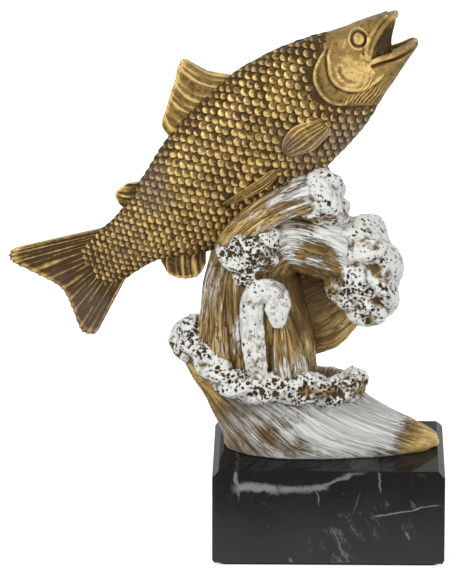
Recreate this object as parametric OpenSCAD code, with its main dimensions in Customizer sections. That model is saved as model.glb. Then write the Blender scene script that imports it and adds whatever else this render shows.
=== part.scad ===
// Fishing trophy: a cast fish leaping off a breaking wave, on a bevelled marble plinth.
// Millimetres, +Z up, +X to the right, +Y to the back. The origin is the centre of the felt's underside.

/* [Plinth] */
// Width of the marble plinth, left to right
plinth_w = 80; // [76:1:120]
// Depth of the marble plinth, front to back
plinth_d = 60; // [50:1:90]
// Height of the marble block
plinth_h = 33; // [24:1:50]
// Width of the bevel round the top face
top_bevel = 2.2; // [0.5:0.1:4]
// Width of the bevel on the four upright corners
corner_bevel = 1.5; // [0.5:0.1:4]
// Width of the bevel round the underside
foot_bevel = 0.8; // [0.3:0.1:2]

/* [Felt] */
// Thickness of the felt sheet
felt_t = 1; // [0.5:0.1:3]
// How far the felt's edge lies inside the plinth's side
felt_inset = 2; // [1:0.5:5]
// Radius of the felt's corners
felt_corner_r = 3; // [1:0.5:6]

/* [Anchor] */
// Diameter of the threaded stud
stud_d = 6; // [4:0.5:8]
// Diameter of the clearance hole through the plinth
stud_hole_d = 7; // [6.5:0.5:10]
// Outer diameter of the brass insert in the foot of the wave
insert_d = 9; // [8.5:0.5:14]
// Length of the brass insert
insert_len = 16; // [10:1:24]
// How far the stud's end stays short of the insert's end
stud_short = 1; // [0.5:0.5:4]
// How far the stud stands out below the nut
stud_tail = 1; // [0.5:0.1:2]
// Bevel on the ends of the stud
stud_bevel = 0.5; // [0.2:0.1:1]
// Width of the nut across its flats
nut_flats = 10; // [9:0.5:14]
// Height of the nut
nut_h = 5; // [3:0.1:6]
// Outer diameter of the washer
washer_d = 16; // [12:0.5:20]
// Thickness of the washer
washer_t = 1.6; // [0.8:0.1:2]
// Diameter of the recess for washer and nut
recess_d = 22; // [20:0.5:28]
// Depth of the recess for washer and nut
recess_h = 10; // [9:0.5:14]

/* [Wave] */
// Width of the wave, from the tip of the left spur to the end of the foot
wave_w = 92; // [84:1:96]
// Depth of the wave, front to back
wave_d = 40; // [36:1:50]
// Height from the plinth to the top of the foam under the fish
wave_h = 100; // [85:1:120]

/* [Fish] */
// Length of the fish from the nose to the fork of the tail
fish_len = 152; // [130:1:180]
// Greatest depth of the body, back to belly
fish_depth = 44; // [38:0.5:52]
// Greatest thickness of the body
fish_t = 22; // [18:0.5:28]
// Angle at which the fish climbs
climb_angle = 41; // [34:1:48]
// Thickness of a fin at its root
fin_t = 2.6; // [2:0.1:4]
// Thickness of a fin at its edge
fin_edge_t = 1.2; // [0.8:0.1:2]
// Diameter of the ring round the eye
eye_d = 5.8; // [4:0.1:8]

/* [Dowels] */
// Diameter of the two pins
dowel_d = 4; // [3:0.1:5]
// Length of each pin
dowel_len = 22; // [16:1:26]
// Distance between the two pins
dowel_gap = 20; // [16:1:26]

/* [Hidden] */

// Play round the pins and the stud, and the glue line between fish and wave
pin_play = 0.05;
glue_gap = 0.15;
// Free depth past the end of a pin or stud in its hole
hole_spare = 0.5;
// How far a cut runs past the face it opens
overrun = 1;
// Smoothness of round holes and pins
$fn = 48;

plinth_top = felt_t + plinth_h;
recess_top = felt_t + recess_h;
nut_top = recess_top - washer_t;
stud_foot = nut_top - nut_h - stud_tail;
stud_top = plinth_top + insert_len - stud_short;
// The stud stands below the thick of the stem
stud_x_share = -0.22;
stud_y_share = 0.05;
stud_x = stud_x_share * wave_w;
stud_y = stud_y_share * wave_d;

// Where the fish's belly sits on the crest
seat_x_share = -0.212;
seat_z_share = 0.83;
seat = [seat_x_share * wave_w, 0, plinth_top + seat_z_share * wave_h];

// Curves

// Step along a curve that gives its direction there
nudge_share = 0.02;

function unit(v) = v / norm(v);
function total(list, i = 0) = i < len(list) ? list[i] + total(list, i + 1) : [0, 0, 0];
function middle(ring) = total(ring) / len(ring);

// Row on the smooth curve through a table's rows, at a share of the way along it
function row_at(rows, share) = let(
        last = len(rows) - 1,
        place = share * last,
        i = min(floor(place), last - 1),
        f = place - i,
        a = rows[max(i - 1, 0)],
        b = rows[i],
        c = rows[i + 1],
        d = rows[min(i + 2, last)]
    ) b + ((c - a) * f + (2 * a - 5 * b + 4 * c - d) * f * f + (3 * b - a - 3 * c + d) * f * f * f) / 2;

// Closed skin over a row of rings, with a fan of faces over each end. Woven turns every second pair of
// faces, so that each point that stands proud is the top of a four-sided scale
module skin(rings, woven = false) {
    sides = len(rings[0]);
    last = len(rings) - 1;
    head = (last + 1) * sides;
    polyhedron(
        points = concat([for (ring = rings) each ring], [middle(rings[0]), middle(rings[last])]),
        faces = concat(
            [for (k = [0:last - 1], i = [0:sides - 1]) let(
                j = (i + 1) % sides,
                a = k * sides + i,
                b = k * sides + j
            ) each woven && (i + k) % 2 == 0
                ? [[a, a + sides, b], [a + sides, b + sides, b]]
                : [[a, a + sides, b + sides], [a, b + sides, b]]],
            [for (i = [0:sides - 1]) [head, i, (i + 1) % sides]],
            [for (i = [0:sides - 1]) [head + 1, last * sides + (i + 1) % sides, last * sides + i]]
        ),
        convexity = 8
    );
}

// How near a lump's end rings come to its poles, and how far its swells turn from ring to ring, in degrees
pole_turn = 86;
lump_turn = 97;

// Ellipsoid with a swelling skin, for foam and for the eye
module lump(size, rings, sides, swells = 0, swell_share = 0) {
    skin([for (k = [0:rings]) let(tilt = pole_turn * (2 * k / rings - 1))
        [for (i = [0:sides - 1]) let(
            turn = 360 * i / sides,
            swell = 1 + swell_share * sin(swells * turn + lump_turn * k)
        ) [
            size[0] * cos(tilt) * cos(turn) * swell,
            size[1] * cos(tilt) * sin(turn) * swell,
            size[2] * sin(tilt)
        ]]]);
}

// Rectangle with its corners cut off, for the plinth's outlines
module cut_rectangle(w, h, low, high) {
    x = w / 2;
    polygon([
        [low - x, 0], [x - low, 0], [x, low], [x, h - high],
        [x - high, h], [high - x, h], [-x, h - high], [-x, low]
    ]);
}

// Plinth, felt and fixings

module plinth() {
    color("#232323")
    difference() {
        intersection() {
            translate([0, -plinth_d / 2, felt_t])
                linear_extrude(plinth_h) cut_rectangle(plinth_w, plinth_d, corner_bevel, corner_bevel);
            translate([0, plinth_d / 2, felt_t]) rotate([90, 0, 0])
                linear_extrude(plinth_d) cut_rectangle(plinth_w, plinth_h, foot_bevel, top_bevel);
            translate([-plinth_w / 2, 0, felt_t]) rotate([90, 0, 90])
                linear_extrude(plinth_w) cut_rectangle(plinth_d, plinth_h, foot_bevel, top_bevel);
        }
        translate([stud_x, stud_y, felt_t]) cylinder(d = stud_hole_d, h = plinth_h + overrun);
        translate([stud_x, stud_y, felt_t - overrun]) cylinder(d = recess_d, h = recess_h + overrun);
    }
}

module felt_pad() {
    x = plinth_w / 2 - felt_inset - felt_corner_r;
    y = plinth_d / 2 - felt_inset - felt_corner_r;
    color("#1c2a20")
    union() {
        translate([-x - felt_corner_r, -y, 0]) cube([2 * (x + felt_corner_r), 2 * y, felt_t]);
        translate([-x, -y - felt_corner_r, 0]) cube([2 * x, 2 * (y + felt_corner_r), felt_t]);
        for (side = [-1, 1], end = [-1, 1])
            translate([side * x, end * y, 0]) cylinder(r = felt_corner_r, h = felt_t);
    }
}

// Round bar with bevelled ends, for the stud and the pins
module bar(d, length, bevel) {
    rotate_extrude() polygon([
        [0, 0], [d / 2 - bevel, 0], [d / 2, bevel],
        [d / 2, length - bevel], [d / 2 - bevel, length], [0, length]
    ]);
}

module anchor_stud() {
    color("silver")
    translate([stud_x, stud_y, stud_foot]) bar(stud_d, stud_top - stud_foot, stud_bevel);
}

module threaded_insert() {
    color("#b59a4b")
    translate([stud_x, stud_y, plinth_top]) difference() {
        cylinder(d = insert_d, h = insert_len);
        translate([0, 0, -overrun]) cylinder(d = stud_d + 2 * pin_play, h = insert_len + 2 * overrun);
    }
}

module washer() {
    color("silver")
    translate([stud_x, stud_y, nut_top]) difference() {
        cylinder(d = washer_d, h = washer_t);
        translate([0, 0, -overrun]) cylinder(d = stud_d + 2 * pin_play, h = washer_t + 2 * overrun);
    }
}

module nut() {
    color("silver")
    translate([stud_x, stud_y, nut_top - nut_h]) difference() {
        cylinder(d = nut_flats / cos(30), h = nut_h, $fn = 6);
        translate([0, 0, -overrun]) cylinder(d = stud_d + 2 * pin_play, h = nut_h + 2 * overrun);
    }
}

// Fish

// Body, from the corner of the mouth to the root of the tail: where the back is, where the belly is
// (each as shares of length and depth from the belly's seat) and half the thickness there
body_share = [
    [0.414, 0.786, 0.39, 0.198, 0.357], [0.381, 0.833, 0.354, 0.153, 0.42],
    [0.342, 0.894, 0.306, 0.103, 0.46], [0.292, 0.958, 0.255, 0.07, 0.49],
    [0.232, 1.02, 0.196, 0.046, 0.5], [0.149, 1.07, 0.108, 0.012, 0.5],
    [0.067, 1.07, 0.02, -0.005, 0.485], [-0.014, 1.045, -0.061, 0.032, 0.45],
    [-0.091, 0.983, -0.129, 0.078, 0.395], [-0.159, 0.905, -0.189, 0.165, 0.335],
    [-0.228, 0.826, -0.249, 0.302, 0.265], [-0.285, 0.791, -0.305, 0.358, 0.205],
    [-0.331, 0.797, -0.353, 0.376, 0.14], [-0.39, 0.79, -0.4, 0.43, 0.06]
];
body_rings = 32;
body_sides = 28;
// Scales, cast at a coarse pitch: every second point of the skin stands proud of its neighbours
scale_lift = 0.35;
// Share of the way along the body at which the scales begin, behind the head
scales_start_share = 0.3;
// Upper jaw and lower jaw, from the cheek to the tip: outer line, lip line, half thickness
upper_jaw_share = [
    [0.385, 0.81, 0.355, 0.5, 0.36], [0.426, 0.768, 0.404, 0.482, 0.345], [0.454, 0.733, 0.44, 0.55, 0.29],
    [0.493, 0.676, 0.486, 0.588, 0.2], [0.517, 0.622, 0.515, 0.585, 0.11]
];
lower_jaw_share = [
    [0.36, 0.49, 0.365, 0.18, 0.35], [0.398, 0.47, 0.402, 0.205, 0.33], [0.441, 0.402, 0.445, 0.25, 0.26],
    [0.473, 0.366, 0.478, 0.284, 0.19], [0.502, 0.35, 0.505, 0.31, 0.12]
];
// Flesh between the jaws, set back from the lips
mouth_share = [
    [0.39, 0.64, 0.385, 0.42, 0.24], [0.43, 0.64, 0.43, 0.38, 0.21], [0.462, 0.64, 0.45, 0.4, 0.15],
    [0.482, 0.62, 0.47, 0.485, 0.1], [0.508, 0.605, 0.505, 0.575, 0.05]
];
jaw_rings = 7;
jaw_sides = 14;
// Outline of the gill cover and of the cheek, and how high each stands over the skin
gill_share = [
    [0.36, 0.79], [0.315, 0.755], [0.285, 0.68], [0.276, 0.57], [0.278, 0.45], [0.3, 0.355],
    [0.34, 0.31], [0.385, 0.3], [0.407, 0.38], [0.406, 0.59], [0.392, 0.755]
];
cheek_share = [
    [0.372, 0.77], [0.34, 0.72], [0.32, 0.64], [0.316, 0.53], [0.33, 0.42], [0.357, 0.35],
    [0.39, 0.325], [0.415, 0.38], [0.418, 0.55], [0.403, 0.71]
];
gill_lift = 0.6;
cheek_lift = 1.2;
plate_sides = 24;
// Steps from a plate's foot to its crown: share of the outline, then share of its height
plate_steps_share = [[1, -1], [0.93, 0.8], [0.5, 1]];
// Eye: its place in the side view, how far from the middle plane it is set, and how far it bulges
eye_share = [0.422, 0.675];
eye_set_share = 0.33;
eye_bulge = 1.5;

// Fins: the line of the root, and the line of the edge, as shares of length and depth
dorsal_root_share = [[0.15, 1.04], [0.085, 1.03], [0.02, 1.01], [-0.048, 0.97]];
dorsal_edge_share = [
    [0.088, 1.425], [0.066, 1.395], [0.042, 1.33], [0.012, 1.267], [-0.021, 1.193], [-0.05, 1.14]
];
adipose_root_share = [[-0.16, 0.87], [-0.2, 0.82], [-0.236, 0.77]];
adipose_edge_share = [[-0.2, 0.945], [-0.235, 0.94], [-0.245, 0.865]];
anal_root_share = [[-0.25, 0.36], [-0.2, 0.28], [-0.15, 0.18]];
anal_edge_share = [[-0.265, 0.25], [-0.268, 0.165], [-0.25, 0.07], [-0.222, 0.016], [-0.19, 0.045]];
tail_root_share = [[-0.31, 0.79], [-0.36, 0.76], [-0.38, 0.61], [-0.375, 0.48], [-0.34, 0.385]];
tail_edge_share = [
    [-0.505, 1.142], [-0.519, 1.06], [-0.497, 0.86], [-0.476, 0.64],
    [-0.49, 0.45], [-0.508, 0.27], [-0.492, 0.17]
];
pectoral_root_share = [[0.233, 0.425], [0.243, 0.35], [0.238, 0.275]];
pectoral_edge_share = [[0.19, 0.495], [0.14, 0.45], [0.127, 0.39], [0.14, 0.315], [0.19, 0.25]];
pelvic_root_share = [[0.09, 0.33], [0.087, 0.3], [0.078, 0.27]];
pelvic_edge_share = [[0, 0.372], [-0.058, 0.386], [-0.036, 0.333], [0.02, 0.265]];
// How far a fin's rays bow and its edge is scalloped, as shares of a ray
ray_bow_share = 0.06;
scallop_share = 0.035;
// How much thinner the web is than the ray
web_share = 0.35;
// How far the paired fins stand from the middle plane, and how much further at their edges
pelvic_off_share = 0.373;
pelvic_lean_share = 0.073;
pectoral_off_share = 0.345;
pectoral_lean_share = 0.155;
pelvic_off = pelvic_off_share * fish_t;
pelvic_lean = pelvic_lean_share * fish_t;
pectoral_off = pectoral_off_share * fish_t;
pectoral_lean = pectoral_lean_share * fish_t;

// Place on the fish, forward and up from the belly's seat
function fish_at(along, up) = [along * fish_len, 0, up * fish_depth];

// Stands what is inside it on the crest, at the angle of the leap
module on_crest() {
    translate(seat) rotate([0, -climb_angle, 0]) children();
}

// Rings of a body that runs between an upper and a lower line; hand is 1 where it runs towards the nose,
// and lift is how far its scales stand out and in
function body_rings_of(rows, rings, sides, hand, grow = 0, lift = 0) = [for (k = [0:rings]) let(
        row = row_at(rows, k / rings),
        high = fish_at(row[0], row[1]),
        low = fish_at(row[2], row[3]),
        half = (high - low) / 2,
        scaled = k / rings > scales_start_share && k < rings ? lift : 0
    ) [for (i = [0:sides - 1]) let(
        turn = 360 * i / sides,
        out = grow + scaled * (1 - 2 * ((i + k) % 2)),
        tall = half + unit(half) * out,
        wide = [0, hand * (row[4] * fish_t + out), 0]
    ) (high + low) / 2 + tall * sin(turn) + wide * cos(turn)]];

// Share of the way along the body at which a ring passes a place in the side view
function station(along, up, share = 0.3, tries = 14) = let(
        row = row_at(body_share, share),
        found = row[2] + (row[0] - row[2]) * (up - row[3]) / (row[1] - row[3]),
        next = min(max(share + (found - along), 0), 1)
    ) tries == 0 ? share : station(along, up, next, tries - 1);

// How far the skin lies from the middle plane at a place in the side view
function flank(along, up) = let(
        row = row_at(body_share, station(along, up)),
        reach = 2 * (up - row[3]) / (row[1] - row[3]) - 1
    ) row[4] * fish_t * sqrt(max(1 - reach * reach, 0));

// Plate that follows the skin inside an outline, with a stepped edge
module plate(outline, lift) {
    count = len(outline);
    centre = total([for (p = outline) [p[0], p[1], 0]]) / count;
    skin([for (step = plate_steps_share) [for (i = [plate_sides - 1:-1:0]) let(
            spot = row_at(concat(outline, [outline[0]]), i / plate_sides),
            along = centre[0] + (spot[0] - centre[0]) * step[0],
            up = centre[1] + (spot[1] - centre[1]) * step[0]
        ) fish_at(along, up) + [0, flank(along, up) + lift * step[1], 0]]]);
}

// Half thickness of a fin at a share of the way out; ridge is 1 on a ray and 0 in the web beside it
function half_fin(share, ridge) =
    (fin_t + (fin_edge_t - fin_t) * share) * (1 - web_share * (1 - ridge)) / 2;

// Point of a fin's skin at a share of the way out along a ray
function fin_point(low, ray, bow, share, off, lean, half) =
    low + ray * share + bow * sin(180 * share) + [0, off + lean * share + half, 0];

// Fin of fanned rays between a root line and an edge line; lean carries its edge off the middle plane
module fin(root, edge, rays, bow = 0, off = 0, lean = 0, grow = 0) {
    steps = 2;
    skin([for (c = [0:2 * rays]) let(
            share = c / (2 * rays),
            ridge = c % 2,
            a = row_at(root, share),
            b = row_at(edge, share),
            low = fish_at(a[0], a[1]),
            top = low + (fish_at(b[0], b[1]) - low) * (1 + scallop_share * (2 * ridge - 1)),
            ray = top - low,
            side = [-ray[2], 0, ray[0]]
        ) [for (m = [0:2 * steps + 1]) let(
            outward = m > steps,
            out = (outward ? m - steps - 1 : steps - m) / steps,
            half = (outward ? -1 : 1) * (half_fin(out, ridge) + grow)
        ) fin_point(low, ray, side * bow, out, off, lean, half)]]);
}

// Makes the same thing in front and behind, as on a fish's two flanks
module both_flanks() {
    children();
    mirror([0, 1, 0]) children();
}

module pelvic_fins(grow = 0) {
    both_flanks() fin(
        pelvic_root_share, pelvic_edge_share, rays = 6, off = pelvic_off, lean = pelvic_lean, grow = grow
    );
}

module fish_casting() {
    skin(body_rings_of(body_share, body_rings, body_sides, -1, lift = scale_lift), woven = true);
    skin(body_rings_of(upper_jaw_share, jaw_rings, jaw_sides, 1));
    skin(body_rings_of(lower_jaw_share, jaw_rings, jaw_sides, 1));
    skin(body_rings_of(mouth_share, jaw_rings, jaw_sides, 1));
    both_flanks() {
        plate(gill_share, gill_lift);
        plate(cheek_share, cheek_lift);
        translate(fish_at(eye_share[0], eye_share[1]) + [0, eye_set_share * fish_t, 0])
            lump([eye_d / 2, eye_bulge, eye_d / 2], rings = 6, sides = 12);
        fin(pectoral_root_share, pectoral_edge_share, rays = 7, off = pectoral_off, lean = pectoral_lean);
    }
    pelvic_fins();
    fin(dorsal_root_share, dorsal_edge_share, rays = 9, bow = 2 * ray_bow_share);
    fin(adipose_root_share, adipose_edge_share, rays = 3, bow = ray_bow_share);
    fin(anal_root_share, anal_edge_share, rays = 8, bow = -ray_bow_share);
    fin(tail_root_share, tail_edge_share, rays = 18);
}

// Hole or pin across the joint of fish and wave; side is 1 towards the head and -1 towards the tail
module across_joint(side) {
    on_crest() translate([side * dowel_gap / 2, 0, -dowel_len / 2]) children();
}

module dowel_holes() {
    for (side = [-1, 1])
        across_joint(side) translate([0, 0, -hole_spare])
            cylinder(d = dowel_d + 2 * pin_play, h = dowel_len + 2 * hole_spare);
}

module fish() {
    color("#8a6d33")
    difference() {
        resize([0, 0, 0]) on_crest() fish_casting();
        dowel_holes();
    }
}

module front_dowel() {
    color("silver") across_joint(1) bar(dowel_d, dowel_len, stud_bevel);
}

module rear_dowel() {
    color("silver") across_joint(-1) bar(dowel_d, dowel_len, stud_bevel);
}

// Wave

// Each stream: its middle line as shares of the wave's width, depth and height, then half its breadth
// across and half its thickness, as shares of the depth
stem_share = [
    [-0.22, 0.08, 0.06, 0.37, 0.48], [-0.24, 0.05, 0.19, 0.36, 0.47], [-0.255, 0.03, 0.37, 0.33, 0.46],
    [-0.28, 0, 0.53, 0.32, 0.41], [-0.275, 0, 0.67, 0.32, 0.37], [-0.17, 0, 0.76, 0.33, 0.32],
    [-0.02, -0.02, 0.735, 0.33, 0.3], [0.1, -0.03, 0.68, 0.31, 0.28], [0.155, -0.03, 0.595, 0.27, 0.235],
    [0.16, -0.02, 0.51, 0.19, 0.16], [0.155, -0.02, 0.455, 0.05, 0.04]
];
upper_stream_share = [
    [-0.41, -0.12, 0.53, 0.12, 0.13], [-0.36, -0.16, 0.65, 0.18, 0.19], [-0.25, -0.18, 0.75, 0.22, 0.22],
    [-0.11, -0.15, 0.83, 0.24, 0.22], [-0.01, -0.1, 0.905, 0.24, 0.2], [0.03, -0.06, 0.93, 0.15, 0.12]
];
left_stream_share = [
    [-0.37, -0.12, 0.22, 0.12, 0.14], [-0.41, -0.1, 0.36, 0.17, 0.16], [-0.415, -0.1, 0.55, 0.16, 0.13],
    [-0.39, -0.12, 0.68, 0.14, 0.12]
];
fang_share = [
    [-0.183, -0.35, 0.475, 0.04, 0.05], [-0.186, -0.36, 0.52, 0.08, 0.09], [-0.194, -0.35, 0.58, 0.09, 0.1],
    [-0.228, -0.34, 0.615, 0.09, 0.1], [-0.265, -0.34, 0.575, 0.09, 0.1], [-0.287, -0.35, 0.48, 0.09, 0.1],
    [-0.29, -0.36, 0.38, 0.08, 0.1], [-0.275, -0.35, 0.24, 0.07, 0.08]
];
right_stream_share = [
    [-0.14, -0.3, 0.22, 0.16, 0.16], [-0.16, -0.27, 0.36, 0.15, 0.15], [-0.15, -0.25, 0.5, 0.13, 0.13],
    [-0.1, -0.22, 0.62, 0.12, 0.12], [0, -0.2, 0.67, 0.1, 0.1]
];
barrel_share = [
    [-0.17, 0.18, 0.45, 0.1, 0.35], [-0.065, 0.19, 0.47, 0.1, 0.32], [0.01, 0.2, 0.51, 0.1, 0.26],
    [0.065, 0.2, 0.55, 0.09, 0.2], [0.12, 0.18, 0.58, 0.08, 0.14]
];
// Foam that ends the curl, the foam ridge in front and the one behind: rolls with a lumpy skin
curl_foam_share = [
    [0.03, -0.03, 0.775, 0.22, 0.09], [0.12, -0.04, 0.75, 0.36, 0.2], [0.18, -0.04, 0.68, 0.36, 0.18],
    [0.195, -0.03, 0.59, 0.33, 0.17], [0.175, -0.02, 0.5, 0.24, 0.12], [0.15, -0.02, 0.455, 0.08, 0.04]
];
front_foam_share = [
    [-0.53, -0.02, 0.4, 0.1, 0.12], [-0.465, -0.15, 0.35, 0.12, 0.13], [-0.4, -0.25, 0.285, 0.12, 0.12],
    [-0.33, -0.3, 0.25, 0.13, 0.13], [-0.22, -0.34, 0.245, 0.13, 0.13], [-0.1, -0.34, 0.25, 0.13, 0.13],
    [0, -0.3, 0.23, 0.12, 0.12], [0.07, -0.2, 0.24, 0.12, 0.11], [0.11, -0.06, 0.26, 0.1, 0.1]
];
back_foam_share = [
    [-0.53, 0.06, 0.39, 0.1, 0.12], [-0.46, 0.2, 0.32, 0.13, 0.13], [-0.36, 0.33, 0.27, 0.13, 0.13],
    [-0.22, 0.38, 0.24, 0.13, 0.13], [-0.06, 0.37, 0.2, 0.12, 0.12], [0.05, 0.24, 0.19, 0.11, 0.11],
    [0.11, 0.06, 0.2, 0.1, 0.1]
];
// Lumps of foam: place, half sizes as shares of the depth
foam_lumps_share = [
    [[-0.505, 0, 0.385], [0.2, 0.17, 0.22]],
    [[-0.315, -0.28, 0.715], [0.25, 0.17, 0.19]],
    [[-0.2, -0.27, 0.77], [0.14, 0.12, 0.12]],
    [[-0.33, -0.28, 0.63], [0.13, 0.12, 0.13]],
    [[-0.035, -0.2, 0.925], [0.2, 0.2, 0.24]],
    [[0.02, -0.1, 0.86], [0.13, 0.2, 0.12]],
    [[-0.02, 0.14, 0.88], [0.18, 0.2, 0.19]],
    [[0.092, -0.08, 0.245], [0.115, 0.14, 0.13]],
    [[0.095, -0.2, 0.62], [0.23, 0.18, 0.26]],
    [[0.145, -0.18, 0.53], [0.18, 0.17, 0.18]]
];
// Splash collar round the stem: share of the way up to the rim, then its reach to left, right, front and back
collar_share = [
    [0, 0.285, 0.526, 0.44, 0.45], [0.12, 0.29, 0.505, 0.43, 0.44], [0.3, 0.315, 0.41, 0.4, 0.41],
    [0.5, 0.36, 0.31, 0.37, 0.38], [0.7, 0.41, 0.25, 0.35, 0.36], [0.88, 0.445, 0.225, 0.33, 0.34],
    [1, 0.455, 0.2, 0.28, 0.29], [0.92, 0.36, 0.14, 0.18, 0.18]
];
collar_x_share = -0.11;
collar_y_share = 0.04;
// Height of the rim, and how much higher the spur on the left stands
rim_share = 0.25;
spur_share = 0.12;
collar_rings = 10;
collar_sides = 56;
collar_ribs = 14;
collar_rib_share = 0.035;
collar_twist = 62;
// Swells round a foam roll or lump, how high they stand, and their turn from ring to ring in degrees
foam_swells = 3;
foam_share = 0.15;
roll_turn = 131;

// Place in the wave, from the middle of the plinth's top
function wave_at(row) = [row[0] * wave_w, row[1] * wave_d, row[2] * wave_h];

// Rings round a middle line; side is the direction in which the breadth lies. Ribs run along the line,
// and swells turn from ring to ring
function stream_rings(rows, rings, sides, side, ribs, rib_share, swell_share) = [
    for (k = [0:rings]) let(
        share = k / rings,
        row = row_at(rows, share),
        ahead = wave_at(row_at(rows, min(share + nudge_share, 1))),
        behind = wave_at(row_at(rows, max(share - nudge_share, 0))),
        along = unit(ahead - behind),
        across = unit(side - along * (side * along)),
        through = cross(along, across)
    ) [for (i = [0:sides - 1]) let(
        turn = 360 * i / sides,
        rib = rib_share * cos(ribs * turn),
        swell = swell_share * sin(foam_swells * turn + roll_turn * k)
    ) wave_at(row) + across * (row[3] * wave_d * cos(turn) * (1 + rib + swell))
        + through * (row[4] * wave_d * sin(turn) * (1 + rib + swell))]];

// Stream of water with ribs along it
module stream(rows, rings, sides, ribs = 0, rib_share = 0) {
    skin(stream_rings(rows, rings, sides, [0, 1, 0], ribs, rib_share, 0));
}

// Roll of foam with a swelling skin
module foam_roll(rows, rings, sides, side) {
    skin(stream_rings(rows, rings, sides, side, 0, 0, foam_share));
}

function collar_ring(row, share) = [for (i = [0:collar_sides - 1]) let(
        start = 360 * i / collar_sides,
        turn = start - collar_twist * share,
        rib = 1 + collar_rib_share * cos(collar_ribs * start),
        reach_x = (cos(turn) > 0 ? row[2] : row[1]) * wave_w * rib,
        reach_y = (sin(turn) > 0 ? row[4] : row[3]) * wave_d * rib,
        leftward = max(-cos(turn), 0)
    ) [
        collar_x_share * wave_w + reach_x * cos(turn),
        collar_y_share * wave_d + reach_y * sin(turn),
        row[0] * (rim_share + spur_share * leftward * leftward) * wave_h
    ]];

module collar() {
    skin([for (k = [0:collar_rings]) collar_ring(row_at(collar_share, k / collar_rings), k / collar_rings)]);
}

module wave_casting() {
    collar();
    stream(stem_share, rings = 16, sides = 27, ribs = 9, rib_share = 0.06);
    both_flanks() {
        stream(upper_stream_share, rings = 8, sides = 15, ribs = 5, rib_share = 0.08);
        stream(left_stream_share, rings = 5, sides = 12, ribs = 4, rib_share = 0.09);
    }
    stream(fang_share, rings = 12, sides = 10);
    stream(right_stream_share, rings = 7, sides = 12, ribs = 4, rib_share = 0.09);
    stream(barrel_share, rings = 5, sides = 12);
    foam_roll(curl_foam_share, rings = 9, sides = 16, side = [0, 1, 0]);
    foam_roll(front_foam_share, rings = 18, sides = 10, side = [0, 0, 1]);
    foam_roll(back_foam_share, rings = 16, sides = 10, side = [0, 0, 1]);
    for (blob = foam_lumps_share)
        translate(wave_at(blob[0]))
            lump(blob[1] * wave_d, rings = 6, sides = 12, swells = foam_swells, swell_share = foam_share);
}

module wave() {
    color("#d9d6cd")
    difference() {
        resize([0, 0, 0]) difference() {
            translate([0, 0, plinth_top]) wave_casting();
            on_crest() skin(body_rings_of(body_share, body_rings, body_sides, -1, glue_gap + scale_lift));
            on_crest() pelvic_fins(glue_gap);
        }
        dowel_holes();
        translate([stud_x, stud_y, plinth_top - overrun])
            cylinder(d = insert_d + 2 * pin_play, h = insert_len + hole_spare + overrun);
    }
}

plinth();
felt_pad();
wave();
fish();
front_dowel();
rear_dowel();
threaded_insert();
anchor_stud();
washer();
nut();
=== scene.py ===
import math

import bpy
import numpy as np
from mathutils import Matrix, Vector


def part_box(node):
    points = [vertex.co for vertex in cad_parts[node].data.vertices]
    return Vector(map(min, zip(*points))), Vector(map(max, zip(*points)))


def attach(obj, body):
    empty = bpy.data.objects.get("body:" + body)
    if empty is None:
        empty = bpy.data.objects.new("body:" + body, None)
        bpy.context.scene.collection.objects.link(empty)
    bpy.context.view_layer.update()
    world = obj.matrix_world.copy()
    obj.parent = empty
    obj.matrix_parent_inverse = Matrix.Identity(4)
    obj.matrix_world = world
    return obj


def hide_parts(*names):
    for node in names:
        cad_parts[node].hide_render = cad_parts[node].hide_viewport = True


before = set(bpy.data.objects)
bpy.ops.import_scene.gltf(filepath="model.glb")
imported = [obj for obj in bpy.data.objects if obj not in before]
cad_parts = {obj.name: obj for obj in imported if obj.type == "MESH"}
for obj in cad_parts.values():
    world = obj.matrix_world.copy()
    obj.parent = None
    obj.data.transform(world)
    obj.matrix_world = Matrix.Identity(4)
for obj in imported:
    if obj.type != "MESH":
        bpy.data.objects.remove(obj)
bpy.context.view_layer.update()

bl_info = {
    "name": "Fishing trophy",
    "version": (1, 0, 0),
    "blender": (4, 5, 0),
    "location": "View3D > Sidebar > Trophy",
    "description": "Dresses a leaping fish on a breaking wave, bolted to a marble plinth",
    "category": "Add Mesh",
}

# Corners of the plinth in the frame: the wave stands on its top
plinth_low, plinth_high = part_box("plinth")

# Fish: lines of the casting, as shares of its length, depth and thickness. Only the underside of the upper
# jaw lies a little higher than the casting's, to make room for the lips.
# Body rows: back along, back up, belly along, belly up, half thickness
BODY_SHARES = [
    (0.414, 0.786, 0.39, 0.198, 0.357), (0.381, 0.833, 0.354, 0.153, 0.42),
    (0.342, 0.894, 0.306, 0.103, 0.46), (0.292, 0.958, 0.255, 0.07, 0.49),
    (0.232, 1.02, 0.196, 0.046, 0.5), (0.149, 1.07, 0.108, 0.012, 0.5),
    (0.067, 1.07, 0.02, -0.005, 0.485), (-0.014, 1.045, -0.061, 0.032, 0.45),
    (-0.091, 0.983, -0.129, 0.078, 0.395), (-0.159, 0.905, -0.189, 0.165, 0.335),
    (-0.228, 0.826, -0.249, 0.302, 0.265), (-0.285, 0.791, -0.305, 0.358, 0.205),
    (-0.331, 0.797, -0.353, 0.376, 0.14), (-0.39, 0.79, -0.4, 0.43, 0.06),
]
UPPER_JAW_SHARES = [
    (0.385, 0.81, 0.355, 0.5, 0.36), (0.426, 0.768, 0.402, 0.49, 0.345), (0.454, 0.733, 0.43, 0.565, 0.29),
    (0.493, 0.676, 0.478, 0.612, 0.2), (0.517, 0.622, 0.515, 0.592, 0.11),
]
LOWER_JAW_SHARES = [
    (0.36, 0.49, 0.365, 0.18, 0.35), (0.402, 0.49, 0.402, 0.205, 0.33), (0.445, 0.415, 0.445, 0.25, 0.27),
    (0.475, 0.38, 0.478, 0.284, 0.22), (0.5, 0.366, 0.502, 0.305, 0.16), (0.511, 0.352, 0.511, 0.322, 0.12),
]
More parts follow.
